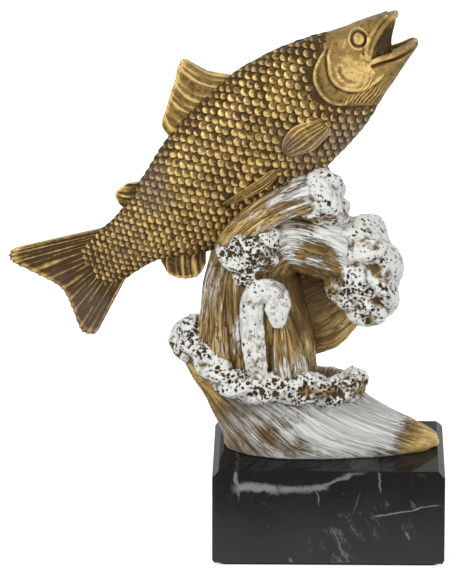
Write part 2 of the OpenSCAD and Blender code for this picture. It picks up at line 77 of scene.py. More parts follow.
MOUTH_SHARES = [
    (0.39, 0.64, 0.385, 0.42, 0.24), (0.43, 0.64, 0.43, 0.38, 0.21), (0.462, 0.64, 0.45, 0.4, 0.15),
    (0.482, 0.62, 0.47, 0.485, 0.1), (0.508, 0.605, 0.505, 0.575, 0.05),
]
# Line where the head's smooth skin gives way to scales, from nape to throat
COLLAR_LINE_SHARES = [
    (0.372, 0.95), (0.36, 0.86), (0.346, 0.785), (0.31, 0.745), (0.287, 0.68), (0.277, 0.6), (0.275, 0.51),
    (0.283, 0.42), (0.303, 0.35), (0.33, 0.27), (0.35, 0.17), (0.355, 0.05),
]
# Rear edge of the gill cover, rear edge of the cheek, and the dent in the cheek
GILL_SHARES = [
    (0.352, 0.79), (0.33, 0.772), (0.305, 0.735), (0.287, 0.675), (0.279, 0.6), (0.277, 0.51),
    (0.284, 0.43), (0.304, 0.36), (0.34, 0.34),
]
CHEEK_SHARES = [
    (0.372, 0.79), (0.347, 0.745), (0.331, 0.68), (0.318, 0.6), (0.318, 0.51), (0.331, 0.42),
    (0.356, 0.35), (0.39, 0.322), (0.42, 0.33),
]
DENT_SHARES = [(0.352, 0.64), (0.343, 0.57), (0.345, 0.49), (0.362, 0.425)]
EYE_SHARES = (0.422, 0.675)
# Lattice of the scales: its lean, how many it counts each way, and how many rows above and below the middle
SCALE_LEAN = math.radians(14)
LATTICE_REACH = 90
LATTICE_ROWS = 14
# Fewer scales than this on a flank mean that the lattice went wrong
LEAST_SCALES = 200
# Lips and the fold above the upper lip: along, up, half width of the jaw there and radius, both as shares
# of the thickness
LIP_SHARES = [
    [(0.519, 0.606, 0.07, 0.025), (0.508, 0.617, 0.12, 0.035), (0.486, 0.624, 0.17, 0.04),
     (0.457, 0.6, 0.235, 0.042), (0.435, 0.57, 0.28, 0.042), (0.418, 0.535, 0.31, 0.042),
     (0.406, 0.495, 0.33, 0.03)],
    [(0.5, 0.652, 0.14, 0.02), (0.478, 0.658, 0.19, 0.03), (0.456, 0.642, 0.265, 0.033),
     (0.433, 0.61, 0.32, 0.033), (0.416, 0.56, 0.34, 0.03), (0.406, 0.51, 0.345, 0.02)],
    [(0.404, 0.475, 0.33, 0.03), (0.423, 0.452, 0.3, 0.04), (0.447, 0.408, 0.245, 0.042),
     (0.473, 0.374, 0.19, 0.042), (0.5, 0.352, 0.14, 0.04), (0.509, 0.342, 0.08, 0.03)],
]
LIP_CREASE_SHARES = [(0.404, 0.45), (0.423, 0.42), (0.447, 0.375), (0.473, 0.34), (0.5, 0.322)]

# Fins: the line of the root and the line of the edge
DORSAL_ROOT_SHARES = [(0.15, 1.04), (0.085, 1.03), (0.02, 1.01), (-0.048, 0.97)]
DORSAL_EDGE_SHARES = [
    (0.088, 1.425), (0.066, 1.395), (0.042, 1.33), (0.012, 1.267), (-0.021, 1.193), (-0.05, 1.14),
]
ADIPOSE_ROOT_SHARES = [(-0.16, 0.87), (-0.2, 0.82), (-0.236, 0.77)]
ADIPOSE_EDGE_SHARES = [(-0.2, 0.945), (-0.235, 0.94), (-0.245, 0.865)]
ANAL_ROOT_SHARES = [(-0.25, 0.36), (-0.2, 0.28), (-0.15, 0.18)]
ANAL_EDGE_SHARES = [(-0.265, 0.25), (-0.268, 0.165), (-0.25, 0.07), (-0.222, 0.016), (-0.19, 0.045)]
TAIL_ROOT_SHARES = [(-0.31, 0.79), (-0.36, 0.76), (-0.38, 0.61), (-0.375, 0.48), (-0.34, 0.385)]
TAIL_EDGE_SHARES = [
    (-0.505, 1.142), (-0.519, 1.06), (-0.497, 0.86), (-0.476, 0.64),
    (-0.49, 0.45), (-0.508, 0.27), (-0.492, 0.17),
]
# Fins that lie on the flank: the upper and the lower edge, from the root to the tip
PECTORAL_UPPER_SHARES = [
    (0.236, 0.4), (0.228, 0.43), (0.21, 0.465), (0.182, 0.495), (0.155, 0.479), (0.136, 0.436), (0.128, 0.39),
]
PECTORAL_LOWER_SHARES = [
    (0.243, 0.34), (0.243, 0.285), (0.232, 0.262), (0.208, 0.252), (0.18, 0.25), (0.156, 0.286),
    (0.136, 0.33), (0.128, 0.38),
]
PELVIC_UPPER_SHARES = [(0.09, 0.325), (0.075, 0.345), (0.04, 0.351), (-0.007, 0.366), (-0.058, 0.386)]
PELVIC_LOWER_SHARES = [
    (0.088, 0.3), (0.078, 0.268), (0.05, 0.253), (0.002, 0.283), (-0.036, 0.333), (-0.058, 0.38),
]

# Wave: middle lines of the streams as shares of width, depth and height, then half the breadth and half
# the thickness as shares of the depth, then how white, how gold and how foamy the water is there
STEM_SHARES = [
    (-0.22, 0.05, 0.06, 0.28, 0.42, 0, 0.3, 0), (-0.24, 0.04, 0.19, 0.29, 0.45, 0, 0.4, 0),
    (-0.255, 0.03, 0.37, 0.33, 0.46, 0.02, 0.5, 0), (-0.28, 0, 0.53, 0.32, 0.41, 0.1, 0.5, 0),
    (-0.275, 0, 0.67, 0.32, 0.37, 0.2, 0.4, 0), (-0.17, 0, 0.76, 0.33, 0.32, 0.55, 0.3, 0),
    (-0.02, -0.02, 0.735, 0.33, 0.3, 0.8, 0.2, 0.25), (0.1, -0.03, 0.68, 0.31, 0.28, 0.9, 0.1, 0.5),
    (0.155, -0.03, 0.595, 0.27, 0.235, 0.95, 0.1, 0.9), (0.16, -0.02, 0.51, 0.19, 0.16, 0.95, 0.1, 1),
    (0.155, -0.02, 0.455, 0.05, 0.04, 0.95, 0.1, 1),
]
UPPER_SHARES = [
    (-0.4, -0.1, 0.66, 0.12, 0.1, 0, 0.6, 0), (-0.36, -0.2, 0.77, 0.15, 0.12, 0, 0.8, 0),
    (-0.28, -0.24, 0.84, 0.15, 0.13, 0.1, 0.9, 0), (-0.18, -0.25, 0.9, 0.15, 0.14, 0.3, 0.7, 0),
    (-0.09, -0.22, 0.935, 0.17, 0.15, 0.7, 0.3, 0.35), (-0.02, -0.15, 0.945, 0.14, 0.12, 0.95, 0.1, 1),
]
LEFT_SHARES = [
    (-0.37, -0.12, 0.22, 0.12, 0.14, 0, 0.3, 0), (-0.41, -0.1, 0.36, 0.17, 0.16, 0.05, 0.6, 0),
    (-0.415, -0.1, 0.55, 0.16, 0.13, 0.2, 0.5, 0), (-0.39, -0.12, 0.68, 0.14, 0.12, 0.2, 0.3, 0),
]
FANG_SHARES = [
    (-0.193, -0.36, 0.47, 0.02, 0.04, 1, 0, 0.6), (-0.193, -0.37, 0.53, 0.04, 0.1, 1, 0, 0.55),
    (-0.196, -0.37, 0.592, 0.045, 0.1, 1, 0, 0.5), (-0.24, -0.36, 0.606, 0.045, 0.105, 1, 0, 0.5),
    (-0.279, -0.34, 0.58, 0.045, 0.1, 1, 0, 0.5), (-0.29, -0.33, 0.516, 0.045, 0.1, 0.9, 0, 0.5),
    (-0.287, -0.335, 0.444, 0.045, 0.1, 0.8, 0.1, 0.55), (-0.278, -0.35, 0.372, 0.045, 0.1, 0.7, 0.2, 0.6),
    (-0.262, -0.37, 0.28, 0.04, 0.08, 0.5, 0.4, 0.6),
]
RIGHT_SHARES = [
    (-0.14, -0.22, 0.24, 0.14, 0.15, 0.3, 0.4, 0), (-0.16, -0.25, 0.34, 0.14, 0.15, 0.3, 0.6, 0),
    (-0.175, -0.24, 0.44, 0.1, 0.11, 0.1, 0.6, 0), (-0.2, -0.2, 0.54, 0.04, 0.05, 0, 0.5, 0),
]
# The barrel's hollow is painted brown, without white and with little gold, as painted shade; the gold rises
# towards its lip
BARREL_SHARES = [
    (-0.17, 0.12, 0.48, 0.11, 0.43, 0, 0.1, 0), (-0.065, 0.13, 0.51, 0.12, 0.465, 0, 0.2, 0),
    (0.01, 0.15, 0.54, 0.12, 0.395, 0, 0.3, 0), (0.065, 0.17, 0.565, 0.11, 0.295, 0.05, 0.4, 0),
    (0.12, 0.18, 0.58, 0.08, 0.15, 0.1, 0.8, 0),
]
# Splash collar: share of the way up to the rim, reach to left, right, front and back, white, gold, foam
COLLAR_SHARES = [
    (0, 0.285, 0.52, 0.44, 0.45, 0.45, 0.3, 0), (0.12, 0.29, 0.524, 0.43, 0.44, 0.5, 0.25, 0),
    (0.27, 0.315, 0.47, 0.4, 0.41, 0.6, 0.2, 0), (0.5, 0.36, 0.345, 0.37, 0.38, 0.6, 0.2, 0),
    (0.7, 0.41, 0.26, 0.365, 0.37, 0.55, 0.2, 0.15), (0.88, 0.445, 0.225, 0.355, 0.36, 0.7, 0.3, 0.6),
    (1, 0.455, 0.2, 0.28, 0.29, 0.5, 0.3, 0.3), (0.92, 0.36, 0.14, 0.18, 0.18, 0.1, 0.3, 0),
]
COLLAR_CENTRE_SHARES = (-0.11, 0.04)
RIM_SHARE = 0.25
SPUR_SHARE = 0.12
# Ribs round the collar, how high they stand, and how far they turn on the way up
COLLAR_RIBS = 14
COLLAR_RIB_SHARE = 0.008
COLLAR_TWIST = math.radians(84)
# Swells round a foam roll or lump, how high they stand, and their turn from station to station
FOAM_SWELLS = 3
FOAM_SHARE = 0.15
ROLL_TURN = math.radians(131)
LUMP_TURN = math.radians(97)
LUMP_STATIONS = 6

# Foam rolls, place and half sizes as for the streams
CURL_FOAM_SHARES = [
    (0.03, -0.03, 0.775, 0.22, 0.09), (0.12, -0.04, 0.75, 0.36, 0.2), (0.18, -0.04, 0.68, 0.36, 0.18),
    (0.195, -0.03, 0.59, 0.33, 0.17), (0.175, -0.02, 0.5, 0.24, 0.12), (0.15, -0.02, 0.455, 0.08, 0.04),
]
FRONT_FOAM_SHARES = [
    (-0.53, -0.02, 0.4, 0.1, 0.12), (-0.465, -0.15, 0.35, 0.12, 0.13), (-0.4, -0.25, 0.285, 0.12, 0.12),
    (-0.33, -0.28, 0.255, 0.13, 0.13), (-0.22, -0.31, 0.25, 0.13, 0.13), (-0.1, -0.31, 0.25, 0.13, 0.13),
    (0, -0.28, 0.235, 0.12, 0.12), (0.07, -0.2, 0.24, 0.12, 0.11), (0.11, -0.06, 0.26, 0.1, 0.1),
]
BACK_FOAM_SHARES = [
    (-0.53, 0.06, 0.39, 0.1, 0.12), (-0.46, 0.2, 0.32, 0.13, 0.13), (-0.36, 0.33, 0.27, 0.13, 0.13),
    (-0.22, 0.38, 0.24, 0.13, 0.13), (-0.06, 0.37, 0.2, 0.12, 0.12), (0.05, 0.24, 0.19, 0.11, 0.11),
    (0.11, 0.06, 0.2, 0.1, 0.1),
]
# Lumps of foam: middle, half sizes, froth
SPUR_LUMP_SHARES = [((-0.505, 0, 0.385), (0.2, 0.17, 0.22), 1.1)]
LEFT_KNOB_SHARES = [
    ((-0.295, -0.28, 0.735), (0.26, 0.17, 0.2), 1.38), ((-0.235, -0.3, 0.78), (0.13, 0.11, 0.11), 1.3),
    ((-0.31, -0.29, 0.66), (0.1, 0.09, 0.12), 1.3),
]
CREST_LUMP_SHARES = [
    ((-0.035, -0.2, 0.925), (0.2, 0.2, 0.24), 0.95), ((0.02, -0.1, 0.86), (0.13, 0.2, 0.12), 0.9),
    ((-0.02, 0.14, 0.88), (0.18, 0.2, 0.19), 1),
]
CURL_LUMP_SHARES = [
    ((0.095, -0.2, 0.62), (0.23, 0.18, 0.26), 1.15), ((0.145, -0.18, 0.53), (0.18, 0.17, 0.18), 1.1),
]
RIGHT_KNOB_SHARES = [((0.092, -0.08, 0.245), (0.115, 0.14, 0.13), 1.15)]
# Paints kept on each point of the wave
PAINTS = ("white", "gold", "foam")
# Places that the brush went over again, and places where shade is painted: a line, how far round it, and the
# white, gold and foam that it adds
BRUSHED_AND_SHADED_SHARES = [
    ([(0.08, -0.33, 0.852), (0.14, -0.34, 0.79), (0.17, -0.34, 0.711), (0.174, -0.34, 0.653),
      (0.2, -0.33, 0.61), (0.156, -0.33, 0.513)], 0.055, (-0.95, 0.3, 0)),
    ([(-0.11, -0.33, 0.732), (-0.043, -0.33, 0.759), (0.008, -0.33, 0.72), (0.032, -0.3, 0.656)],
     0.045, (-1, 0.2, -0.3)),
    ([(-0.11, -0.3, 0.84), (0.005, -0.3, 0.86), (0.08, -0.3, 0.852)], 0.035, (-0.9, 0.3, -0.3)),
    ([(-0.2, -0.33, 0.67), (-0.11, -0.33, 0.66), (-0.04, -0.33, 0.67), (-0.02, -0.3, 0.64)],
     0.08, (-0.75, 0.4, -0.3)),
    ([(0.1, 0.1, 0.44), (0.058, 0.1, 0.385), (0.002, 0.1, 0.34), (-0.043, 0.1, 0.335)], 0.05, (0, 1, 0)),
    ([(-0.235, -0.36, 0.73), (-0.225, -0.36, 0.69)], 0.08, (-0.8, 0.1, 0)),
    ([(-0.09, -0.42, 0.25), (-0.03, -0.42, 0.24), (0.02, -0.38, 0.25)], 0.06, (-1.1, 0.3, 0.1)),
    ([(0.08, -0.2, 0.25), (0.12, -0.2, 0.22)], 0.08, (-1.1, 0.3, 0)),
    ([(-0.5, -0.12, 0.3), (-0.44, -0.2, 0.2)], 0.12, (-0.5, 0.5, -0.6)),
    ([(-0.1, -0.35, 0.9), (-0.09, -0.35, 0.86)], 0.06, (-0.8, 0.3, 0)),
    ([(0.1, -0.33, 0.47), (0.15, -0.3, 0.48)], 0.05, (-0.7, 0.2, 0)),
    ([(-0.285, -0.42, 0.31), (-0.27, -0.42, 0.25)], 0.06, (-0.2, 0.1, 0)),
    # Painted shade: the hollow of the barrel and the column inside it, painted dark brown
    ([(-0.13, -0.3, 0.6), (-0.06, -0.25, 0.58), (0.02, -0.2, 0.57)], 0.15, (-0.8, -0.9, 0)),
    ([(-0.08, -0.25, 0.52), (-0.1, -0.28, 0.46)], 0.13, (-0.6, -0.7, 0)),
    ([(-0.34, -0.3, 0.5), (-0.34, -0.3, 0.38)], 0.05, (0.5, 0, 0)),
]
# How often the drags, hairs and crevices of the paint repeat along the flow and across it, in a metre
DRAG_SCALE = (90, 1300, 1300)
HAIR_SCALE = (260, 3600, 3600)
CREVICE_SCALE = (70, 850, 850)
# Pits of the foam: how many there are to one spacing, and their least and greatest radius in it
PIT_KINDS = ((0.8, -0.3, 0.55), (1.35, -0.15, 0.55), (2.3, -0.2, 0.45))
PIT_MOST = 0.52

# Veins of the marble: depth below the top, slope, middle, half length, thickness and strength
VEINS = [
    (0.0062, -0.1, -0.0245, 0.009, 0.0019, 0.5), (0.0052, 0.16, -0.0085, 0.0105, 0.0015, 0.45),
    (0.0022, 0.32, 0.003, 0.007, 0.0009, 0.4), (0.0006, 0.02, 0.0115, 0.006, 0.0006, 0.35),
    (0.0028, -5, -0.0312, 0.001, 0.005, 0.4), (0.0033, -3.8, 0.0172, 0.0012, 0.0016, 0.4),
    (0.0142, 0.22, 0.0275, 0.0135, 0.0003, 0.5), (0.0113, 3.2, 0.0105, 0.0013, 0.001, 0.14),
    (0.008, -2.5, -0.004, 0.001, 0.0011, 0.3),
]
# Crowds of wisps in the marble: depth below the top, middle, half width, half height and strength
WISPS = [
    (0.0128, 0.0185, 0.003, 0.0026, 0.75), (0.0205, 0.0284, 0.0028, 0.0045, 1),
    (0.0148, 0.006, 0.0028, 0.0016, 0.6), (0.0278, 0.002, 0.0095, 0.0085, 0.75),
    (0.0308, -0.0122, 0.0014, 0.003, 0.9), (0.0118, -0.038, 0.0035, 0.0016, 0.25),
    (0.0195, 0.012, 0.009, 0.006, 0.3), (0.012, 0.03, 0.008, 0.003, 0.3),
]

# Lamps: name, place, width and height, and share of the main lamp's power
LAMPS = (
    ("key", (-0.55, -0.6, 0.85), (0.5, 0.5), 1),
    ("fill", (0.8, -0.7, 0.45), (0.6, 0.6), 0.55),
    ("rim", (0.1, 0.7, 0.6), (0.5, 0.3), 0.35),
)
FLOOR_HALF = 3.0


class PlinthSettings(bpy.types.PropertyGroup):
    """Stone and cloth of the plinth"""
    stone: bpy.props.FloatVectorProperty(
        name="Stone", description="Colour of the marble", subtype="COLOR", default=(0.014, 0.0145, 0.0135))
    # Painted reflection: the marble is painted lighter towards its foot, where its polish would show the pale
    # floor
    deep: bpy.props.FloatVectorProperty(
        name="Deep", description="Colour of the marble near its foot", subtype="COLOR",
        default=(0.046, 0.049, 0.047))
    vein: bpy.props.FloatVectorProperty(
        name="Vein", description="Colour of the veins", subtype="COLOR", default=(0.42, 0.42, 0.41))
    felt: bpy.props.FloatVectorProperty(
        name="Felt", description="Colour of the felt", subtype="COLOR", default=(0.012, 0.02, 0.014))


class FishSettings(bpy.types.PropertyGroup):
    """Sizes and paints of the fish"""
    length: bpy.props.FloatProperty(
        name="Length", description="From the nose to the fork of the tail", default=0.152, unit="LENGTH")
    depth: bpy.props.FloatProperty(
        name="Depth", description="Greatest depth, back to belly", default=0.044, unit="LENGTH")
    thickness: bpy.props.FloatProperty(
        name="Thickness", description="Greatest thickness of the body", default=0.022, unit="LENGTH")
    climb: bpy.props.FloatProperty(
        name="Climb", description="Angle of the leap", default=math.radians(41), subtype="ANGLE")
    seat_x: bpy.props.FloatProperty(
        name="Seat X", description="Where the belly rests on the crest",
        default=-0.212 * 0.092, unit="LENGTH")
    seat_z: bpy.props.FloatProperty(
        name="Seat Z", description="Height at which the belly rests on the crest",
        default=plinth_high.z + 0.83 * 0.1, unit="LENGTH")
    pitch: bpy.props.FloatProperty(
        name="Scale pitch", description="Distance between scales on the flank", default=0.0031, unit="LENGTH")
    tail_pitch: bpy.props.FloatProperty(
        name="Tail pitch", description="Distance between scales at the tail", default=0.0023, unit="LENGTH")
    fin_root: bpy.props.FloatProperty(
        name="Fin root", description="Thickness of a fin at its root", default=0.0026, unit="LENGTH")
    fin_edge: bpy.props.FloatProperty(
        name="Fin edge", description="Thickness of a fin at its edge", default=0.0012, unit="LENGTH")
    eye: bpy.props.FloatProperty(
        name="Eye", description="Diameter of the ring round the eye", default=0.0058, unit="LENGTH")
    wash: bpy.props.FloatVectorProperty(
        name="Wash", description="Dark wash in the hollows", subtype="COLOR", default=(0.05, 0.026, 0.006))
    gold: bpy.props.FloatVectorProperty(
        name="Gold", description="Antique gold of the surface", subtype="COLOR", default=(0.26, 0.163, 0.045))
    shine: bpy.props.FloatVectorProperty(
        name="Shine", description="Gold rubbed bright on what stands proud", subtype="COLOR",
        default=(0.62, 0.43, 0.16))
    worn: bpy.props.FloatVectorProperty(
        name="Worn", description="Matt patches on the flank", subtype="COLOR", default=(0.3, 0.2, 0.125))


class WaveSettings(bpy.types.PropertyGroup):
    """Sizes and paints of the wave"""
    width: bpy.props.FloatProperty(
        name="Width", description="From the spur to the end of the foot", default=0.092, unit="LENGTH")
    depth: bpy.props.FloatProperty(
        name="Depth", description="Front to back", default=0.04, unit="LENGTH")
    height: bpy.props.FloatProperty(
        name="Height", description="From the plinth to the foam under the fish", default=0.1, unit="LENGTH")
    streak: bpy.props.FloatProperty(
        name="Streak", description="Width of the broad streaks", default=0.0034, unit="LENGTH")
    relief: bpy.props.FloatProperty(
        name="Relief", description="How far the streaks stand out", default=0.0005, unit="LENGTH")
    pit: bpy.props.FloatProperty(
        name="Pit", description="Distance between the larger pits in the foam", default=0.0018, unit="LENGTH")
    pit_depth: bpy.props.FloatProperty(
        name="Pit depth", description="Depth of the pits", default=0.0009, unit="LENGTH")
    voxel: bpy.props.FloatProperty(
        name="Voxel", description="Fineness at which the wave's forms are fused",
        default=0.00049, unit="LENGTH")
    brown: bpy.props.FloatVectorProperty(
        name="Brown", description="Dark water", subtype="COLOR", default=(0.125, 0.073, 0.021))
    bronze: bpy.props.FloatVectorProperty(
        name="Bronze", description="Ridges of the water", subtype="COLOR", default=(0.3, 0.19, 0.066))
    gilt: bpy.props.FloatVectorProperty(
        name="Gilt", description="Gold rubbed on the ridges", subtype="COLOR", default=(0.7, 0.5, 0.19))
    white: bpy.props.FloatVectorProperty(
        name="White", description="White paint of the foam", subtype="COLOR", default=(0.8, 0.81, 0.77))
    grey: bpy.props.FloatVectorProperty(
        name="Grey", description="Thin white paint over brown", subtype="COLOR", default=(0.35, 0.32, 0.29))
    pit_floor: bpy.props.FloatVectorProperty(
        name="Pit floor", description="Wash that stays in the pits", subtype="COLOR",
        default=(0.05, 0.031, 0.012))


class StageSettings(bpy.types.PropertyGroup):
    """Camera, floor and lamps"""
    distance: bpy.props.FloatProperty(
        name="Distance", description="Camera to the middle of the picture", default=2, unit="LENGTH")
    raised: bpy.props.FloatProperty(
        name="Raised", description="How far the camera looks down", default=math.radians(17), subtype="ANGLE")
    turned: bpy.props.FloatProperty(
        name="Turned", description="How far the camera stands to the right", default=math.radians(1),
        subtype="ANGLE")
    aim_x: bpy.props.FloatProperty(
        name="Aim X", description="Middle of the picture, sideways", default=-0.0357, unit="LENGTH")
    aim_z: bpy.props.FloatProperty(
        name="Aim Z", description="Middle of the picture, upwards", default=0.0896, unit="LENGTH")
    view_height: bpy.props.FloatProperty(
        name="View height", description="Height of what the picture takes in", default=0.2014, unit="LENGTH")
    bounce: bpy.props.FloatProperty(
        name="Bounce", description="How much the white surroundings light the trophy", default=0.3)
    lamp_power: bpy.props.FloatProperty(
        name="Lamp power", description="Strength of the main lamp; the others follow",
        default=7.3, unit="POWER")


# Curves and skins

def row_at(rows, shares):
    """Rows on the smooth curve through a table's rows, at shares of the way along it."""
    rows = np.asarray(rows, float)
    shares = np.clip(np.asarray(shares, float), 0, 1)
    last = len(rows) - 1
    place = shares * last
    i = np.minimum(place.astype(int), last - 1)
    f = (place - i)[..., None]
    a = rows[np.maximum(i - 1, 0)]
    b = rows[i]
    c = rows[i + 1]
    d = rows[np.minimum(i + 2, last)]
    return b + ((c - a) * f + (2 * a - 5 * b + 4 * c - d) * f ** 2 + (3 * b - a - 3 * c + d) * f ** 3) / 2


def unit(rows):
    """Rows brought to length 1."""
    return rows / np.maximum(np.linalg.norm(rows, axis=-1, keepdims=True), 1e-12)


def round_turns(sides):
    """Angles once round, one for each side."""
    return np.linspace(0, 2 * np.pi, sides, endpoint=False)


def smooth_step(low, high, values):
    """0 up to low and 1 from high on, with an S between them."""
    f = np.clip((values - low) / (high - low), 0, 1)
    return f * f * (3 - 2 * f)


def new_object(name, mesh):
    """Object that holds a mesh, linked to the scene and shaded smooth."""
    mesh.shade_smooth()
    made = bpy.data.objects.new(name, mesh)
    bpy.context.scene.collection.objects.link(made)
    return made


def skin(name, rings):
    """Closed mesh over a stack of rings, with a fan over each end and its faces outwards."""
    count, sides = rings.shape[:2]
    points = np.concatenate([rings.reshape(-1, 3), rings[:1].mean(1), rings[-1:].mean(1)])
    k = np.arange(count - 1)[:, None] * sides
    i = np.arange(sides)[None, :]
    j = (i + 1) % sides
    quads = np.stack([k + i, k + i + sides, k + j + sides, k + j], -1).reshape(-1, 4)
    head = count * sides
    foot = (count - 1) * sides
    fan = [(head, a, (a + 1) % sides) for a in range(sides)]
    fan += [(head + 1, foot + (a + 1) % sides, foot + a) for a in range(sides)]
    a, b, c, d = (points[quads[:, n]] for n in range(4))
    volume = (a * np.cross(b, c)).sum() + (a * np.cross(c, d)).sum()
    faces = quads.tolist() + [list(face) for face in fan]
    if volume < 0:
        faces = [face[::-1] for face in faces]
    mesh = bpy.data.meshes.new(name)
    mesh.from_pydata(points.tolist(), [], faces)
    return mesh


def coords(mesh):
    """Places of a mesh's points."""
    flat = np.empty(len(mesh.vertices) * 3, np.float32)
    mesh.vertices.foreach_get("co", flat)
    return flat.reshape(-1, 3).astype(float)


def place_points(mesh, points):
    """Moves a mesh's points to new places."""
    mesh.vertices.foreach_set("co", np.ascontiguousarray(points, np.float32).ravel())
    mesh.update()


def normals(mesh):
    """Outward directions of a mesh's points."""
    flat = np.empty(len(mesh.vertices) * 3, np.float32)
    mesh.vertex_normals.foreach_get("vector", flat)
    return flat.reshape(-1, 3).astype(float)


def keep_value(mesh, name, values):
    """Stores one number for each point."""
    layer = mesh.attributes.get(name) or mesh.attributes.new(name, "FLOAT", "POINT")
    layer.data.foreach_set("value", np.ascontiguousarray(values, np.float32))


def keep_vector(mesh, name, values):
    """Stores one vector for each point."""
    layer = mesh.attributes.get(name) or mesh.attributes.new(name, "FLOAT_VECTOR", "POINT")
    layer.data.foreach_set("vector", np.ascontiguousarray(values, np.float32).ravel())


def kept_values(mesh, name):
    """Reads back the numbers or vectors kept for each point."""
    layer = mesh.attributes[name]
    vector = layer.data_type == "FLOAT_VECTOR"
    flat = np.empty(len(mesh.vertices) * (3 if vector else 1), np.float32)
    layer.data.foreach_get("vector" if vector else "value", flat)
    return flat.reshape(-1, 3) if vector else flat


def relief(mesh, reach):
    """Height of each point above the surface eased over a reach of neighbours, and the function that takes
    the mean of neighbours."""
    points = coords(mesh)
    edges = np.empty(len(mesh.edges) * 2, np.int32)
    mesh.edges.foreach_get("vertices", edges)
    a, b = edges.reshape(-1, 2).T
    count = len(points)
    shared = np.bincount(a, minlength=count) + np.bincount(b, minlength=count)

    def mean_of(values):
        return (np.bincount(a, values[b], count) + np.bincount(b, values[a], count)) / np.maximum(shared, 1)

    spread = points.copy()
    for _ in range(reach):
        spread = np.stack([mean_of(spread[:, axis]) for axis in range(3)], -1)
    height = ((points - spread) * normals(mesh)).sum(-1)
    return height, mean_of


def as_mesh(made, name):
    """Turns an object's evaluated modifiers into a plain mesh on a fresh object."""
    graph = bpy.context.evaluated_depsgraph_get()
    mesh = bpy.data.meshes.new_from_object(made.evaluated_get(graph), depsgraph=graph)
    old = made.data
    bpy.data.objects.remove(made)
    bpy.data.meshes.remove(old)
    mesh.name = name
    return new_object(name, mesh)


def joined(name, meshes, kept=()):
    """One object from several meshes, which may pass through each other, with the values named in kept."""
    points, faces, start = [], [], 0
    values = {label: [] for label in kept}
    for mesh in meshes:
        points.append(coords(mesh))
        faces += [[v + start for v in face.vertices] for face in mesh.polygons]
        start += len(mesh.vertices)
        for label in kept:
            values[label].append(kept_values(mesh, label))
        bpy.data.meshes.remove(mesh)
    mesh = bpy.data.meshes.new(name)
    mesh.from_pydata(np.concatenate(points).tolist(), [], faces)
    for label in kept:
        whole = np.concatenate(values[label])
        (keep_value if whole.ndim == 1 else keep_vector)(mesh, label, whole)
    return new_object(name, mesh)


def remeshed(made, voxel, passes, name):
    """Fuses a piece's overlapping bodies into one skin and rounds it off."""
    fuse = made.modifiers.new("Fuse", "REMESH")
    fuse.mode = "VOXEL"
    fuse.voxel_size = voxel
    if passes:
        ease = made.modifiers.new("Ease", "SMOOTH")
        ease.iterations = passes
    return as_mesh(made, name)


# Node trees

def add(tree, kind, links=None, **settings):
    """Adds a node; links holds a value or a socket for each of its inputs, by name or number."""
    made = tree.nodes.new(kind)
    for key, value in settings.items():
        setattr(made, key, value)
    for key, value in (links or {}).items():
        if isinstance(value, bpy.types.NodeSocket):
            tree.links.new(value, made.inputs[key])
        else:
            made.inputs[key].default_value = value
    return made


def maths(tree, what, *values):
    """Sum, product or the like of values and sockets."""
    return add(tree, "ShaderNodeMath", dict(enumerate(values)), operation=what).outputs[0]


def plus(tree, level, share, value):
    """Adds a share of a value to a level."""
    return maths(tree, "ADD", level, maths(tree, "MULTIPLY", value, share))


def vary(tree, level, share, value):
    """Adds a share of how far a value lies from its middle to a level."""
    return plus(tree, level, share, maths(tree, "SUBTRACT", value, 0.5))


def rest_of(tree, share):
    """What a share leaves of one."""
    return maths(tree, "SUBTRACT", 1, share)


def vectors(tree, what, *values):
    """Sum, product or the like of vectors."""
    return add(tree, "ShaderNodeVectorMath", dict(enumerate(values)), operation=what).outputs[0]


def scaled(tree, vector, factor):
    """Vector times a value."""
    return add(tree, "ShaderNodeVectorMath", {0: vector, "Scale": factor}, operation="SCALE").outputs[0]


def wander(tree, place, scale, detail, reach):
    """Vector that drifts from place to place, up to half a reach along each axis."""
    found = add(tree, "ShaderNodeTexNoise", {"Vector": place, "Scale": scale, "Detail": detail})
    centred = vectors(tree, "SUBTRACT", found.outputs["Color"], (0.5, 0.5, 0.5))
    return vectors(tree, "MULTIPLY", centred, (reach, reach, reach))


def map_range(tree, value, low, high, out_low=0.0, out_high=1.0):
    """Carries a value smoothly from one range to another."""
    made = add(tree, "ShaderNodeMapRange", {
        "Value": value, "From Min": low, "From Max": high, "To Min": out_low, "To Max": out_high,
    }, interpolation_type="SMOOTHSTEP")
    return made.outputs["Result"]


def toned(colour, share):
    """Colour made darker or lighter."""
    return tuple(share * c for c in colour)


def blend_colour(tree, share, first, second):
    """Goes from the first colour to the second as the share grows."""
    made = add(tree, "ShaderNodeMix", {"Factor": share}, data_type="RGBA")
    for socket, value in ((made.inputs[6], first), (made.inputs[7], second)):
        if isinstance(value, bpy.types.NodeSocket):
            tree.links.new(value, socket)
        else:
            socket.default_value = (*value, 1)
    return made.outputs[2]


def noise(tree, vector, scale, detail, rough, twist=0.0):
    """Grey noise: its scale for each metre, its octaves, how rough it is and how far it is distorted."""
    made = add(tree, "ShaderNodeTexNoise", {
        "Vector": vector, "Scale": scale, "Detail": detail, "Roughness": rough, "Distortion": twist,
    })
    return made.outputs[0]


def attribute(tree, name):
    """Reads a named value inside a material."""
    return add(tree, "ShaderNodeAttribute", attribute_name=name)


def new_material(name):
    """Material with only its output and a principled shader, and its tree."""
    made = bpy.data.materials.new(name)
    made.use_nodes = True
    tree = made.node_tree
    tree.nodes.clear()
    shader = add(tree, "ShaderNodeBsdfPrincipled")
    add(tree, "ShaderNodeOutputMaterial", {"Surface": shader.outputs[0]})
    return made, tree, shader


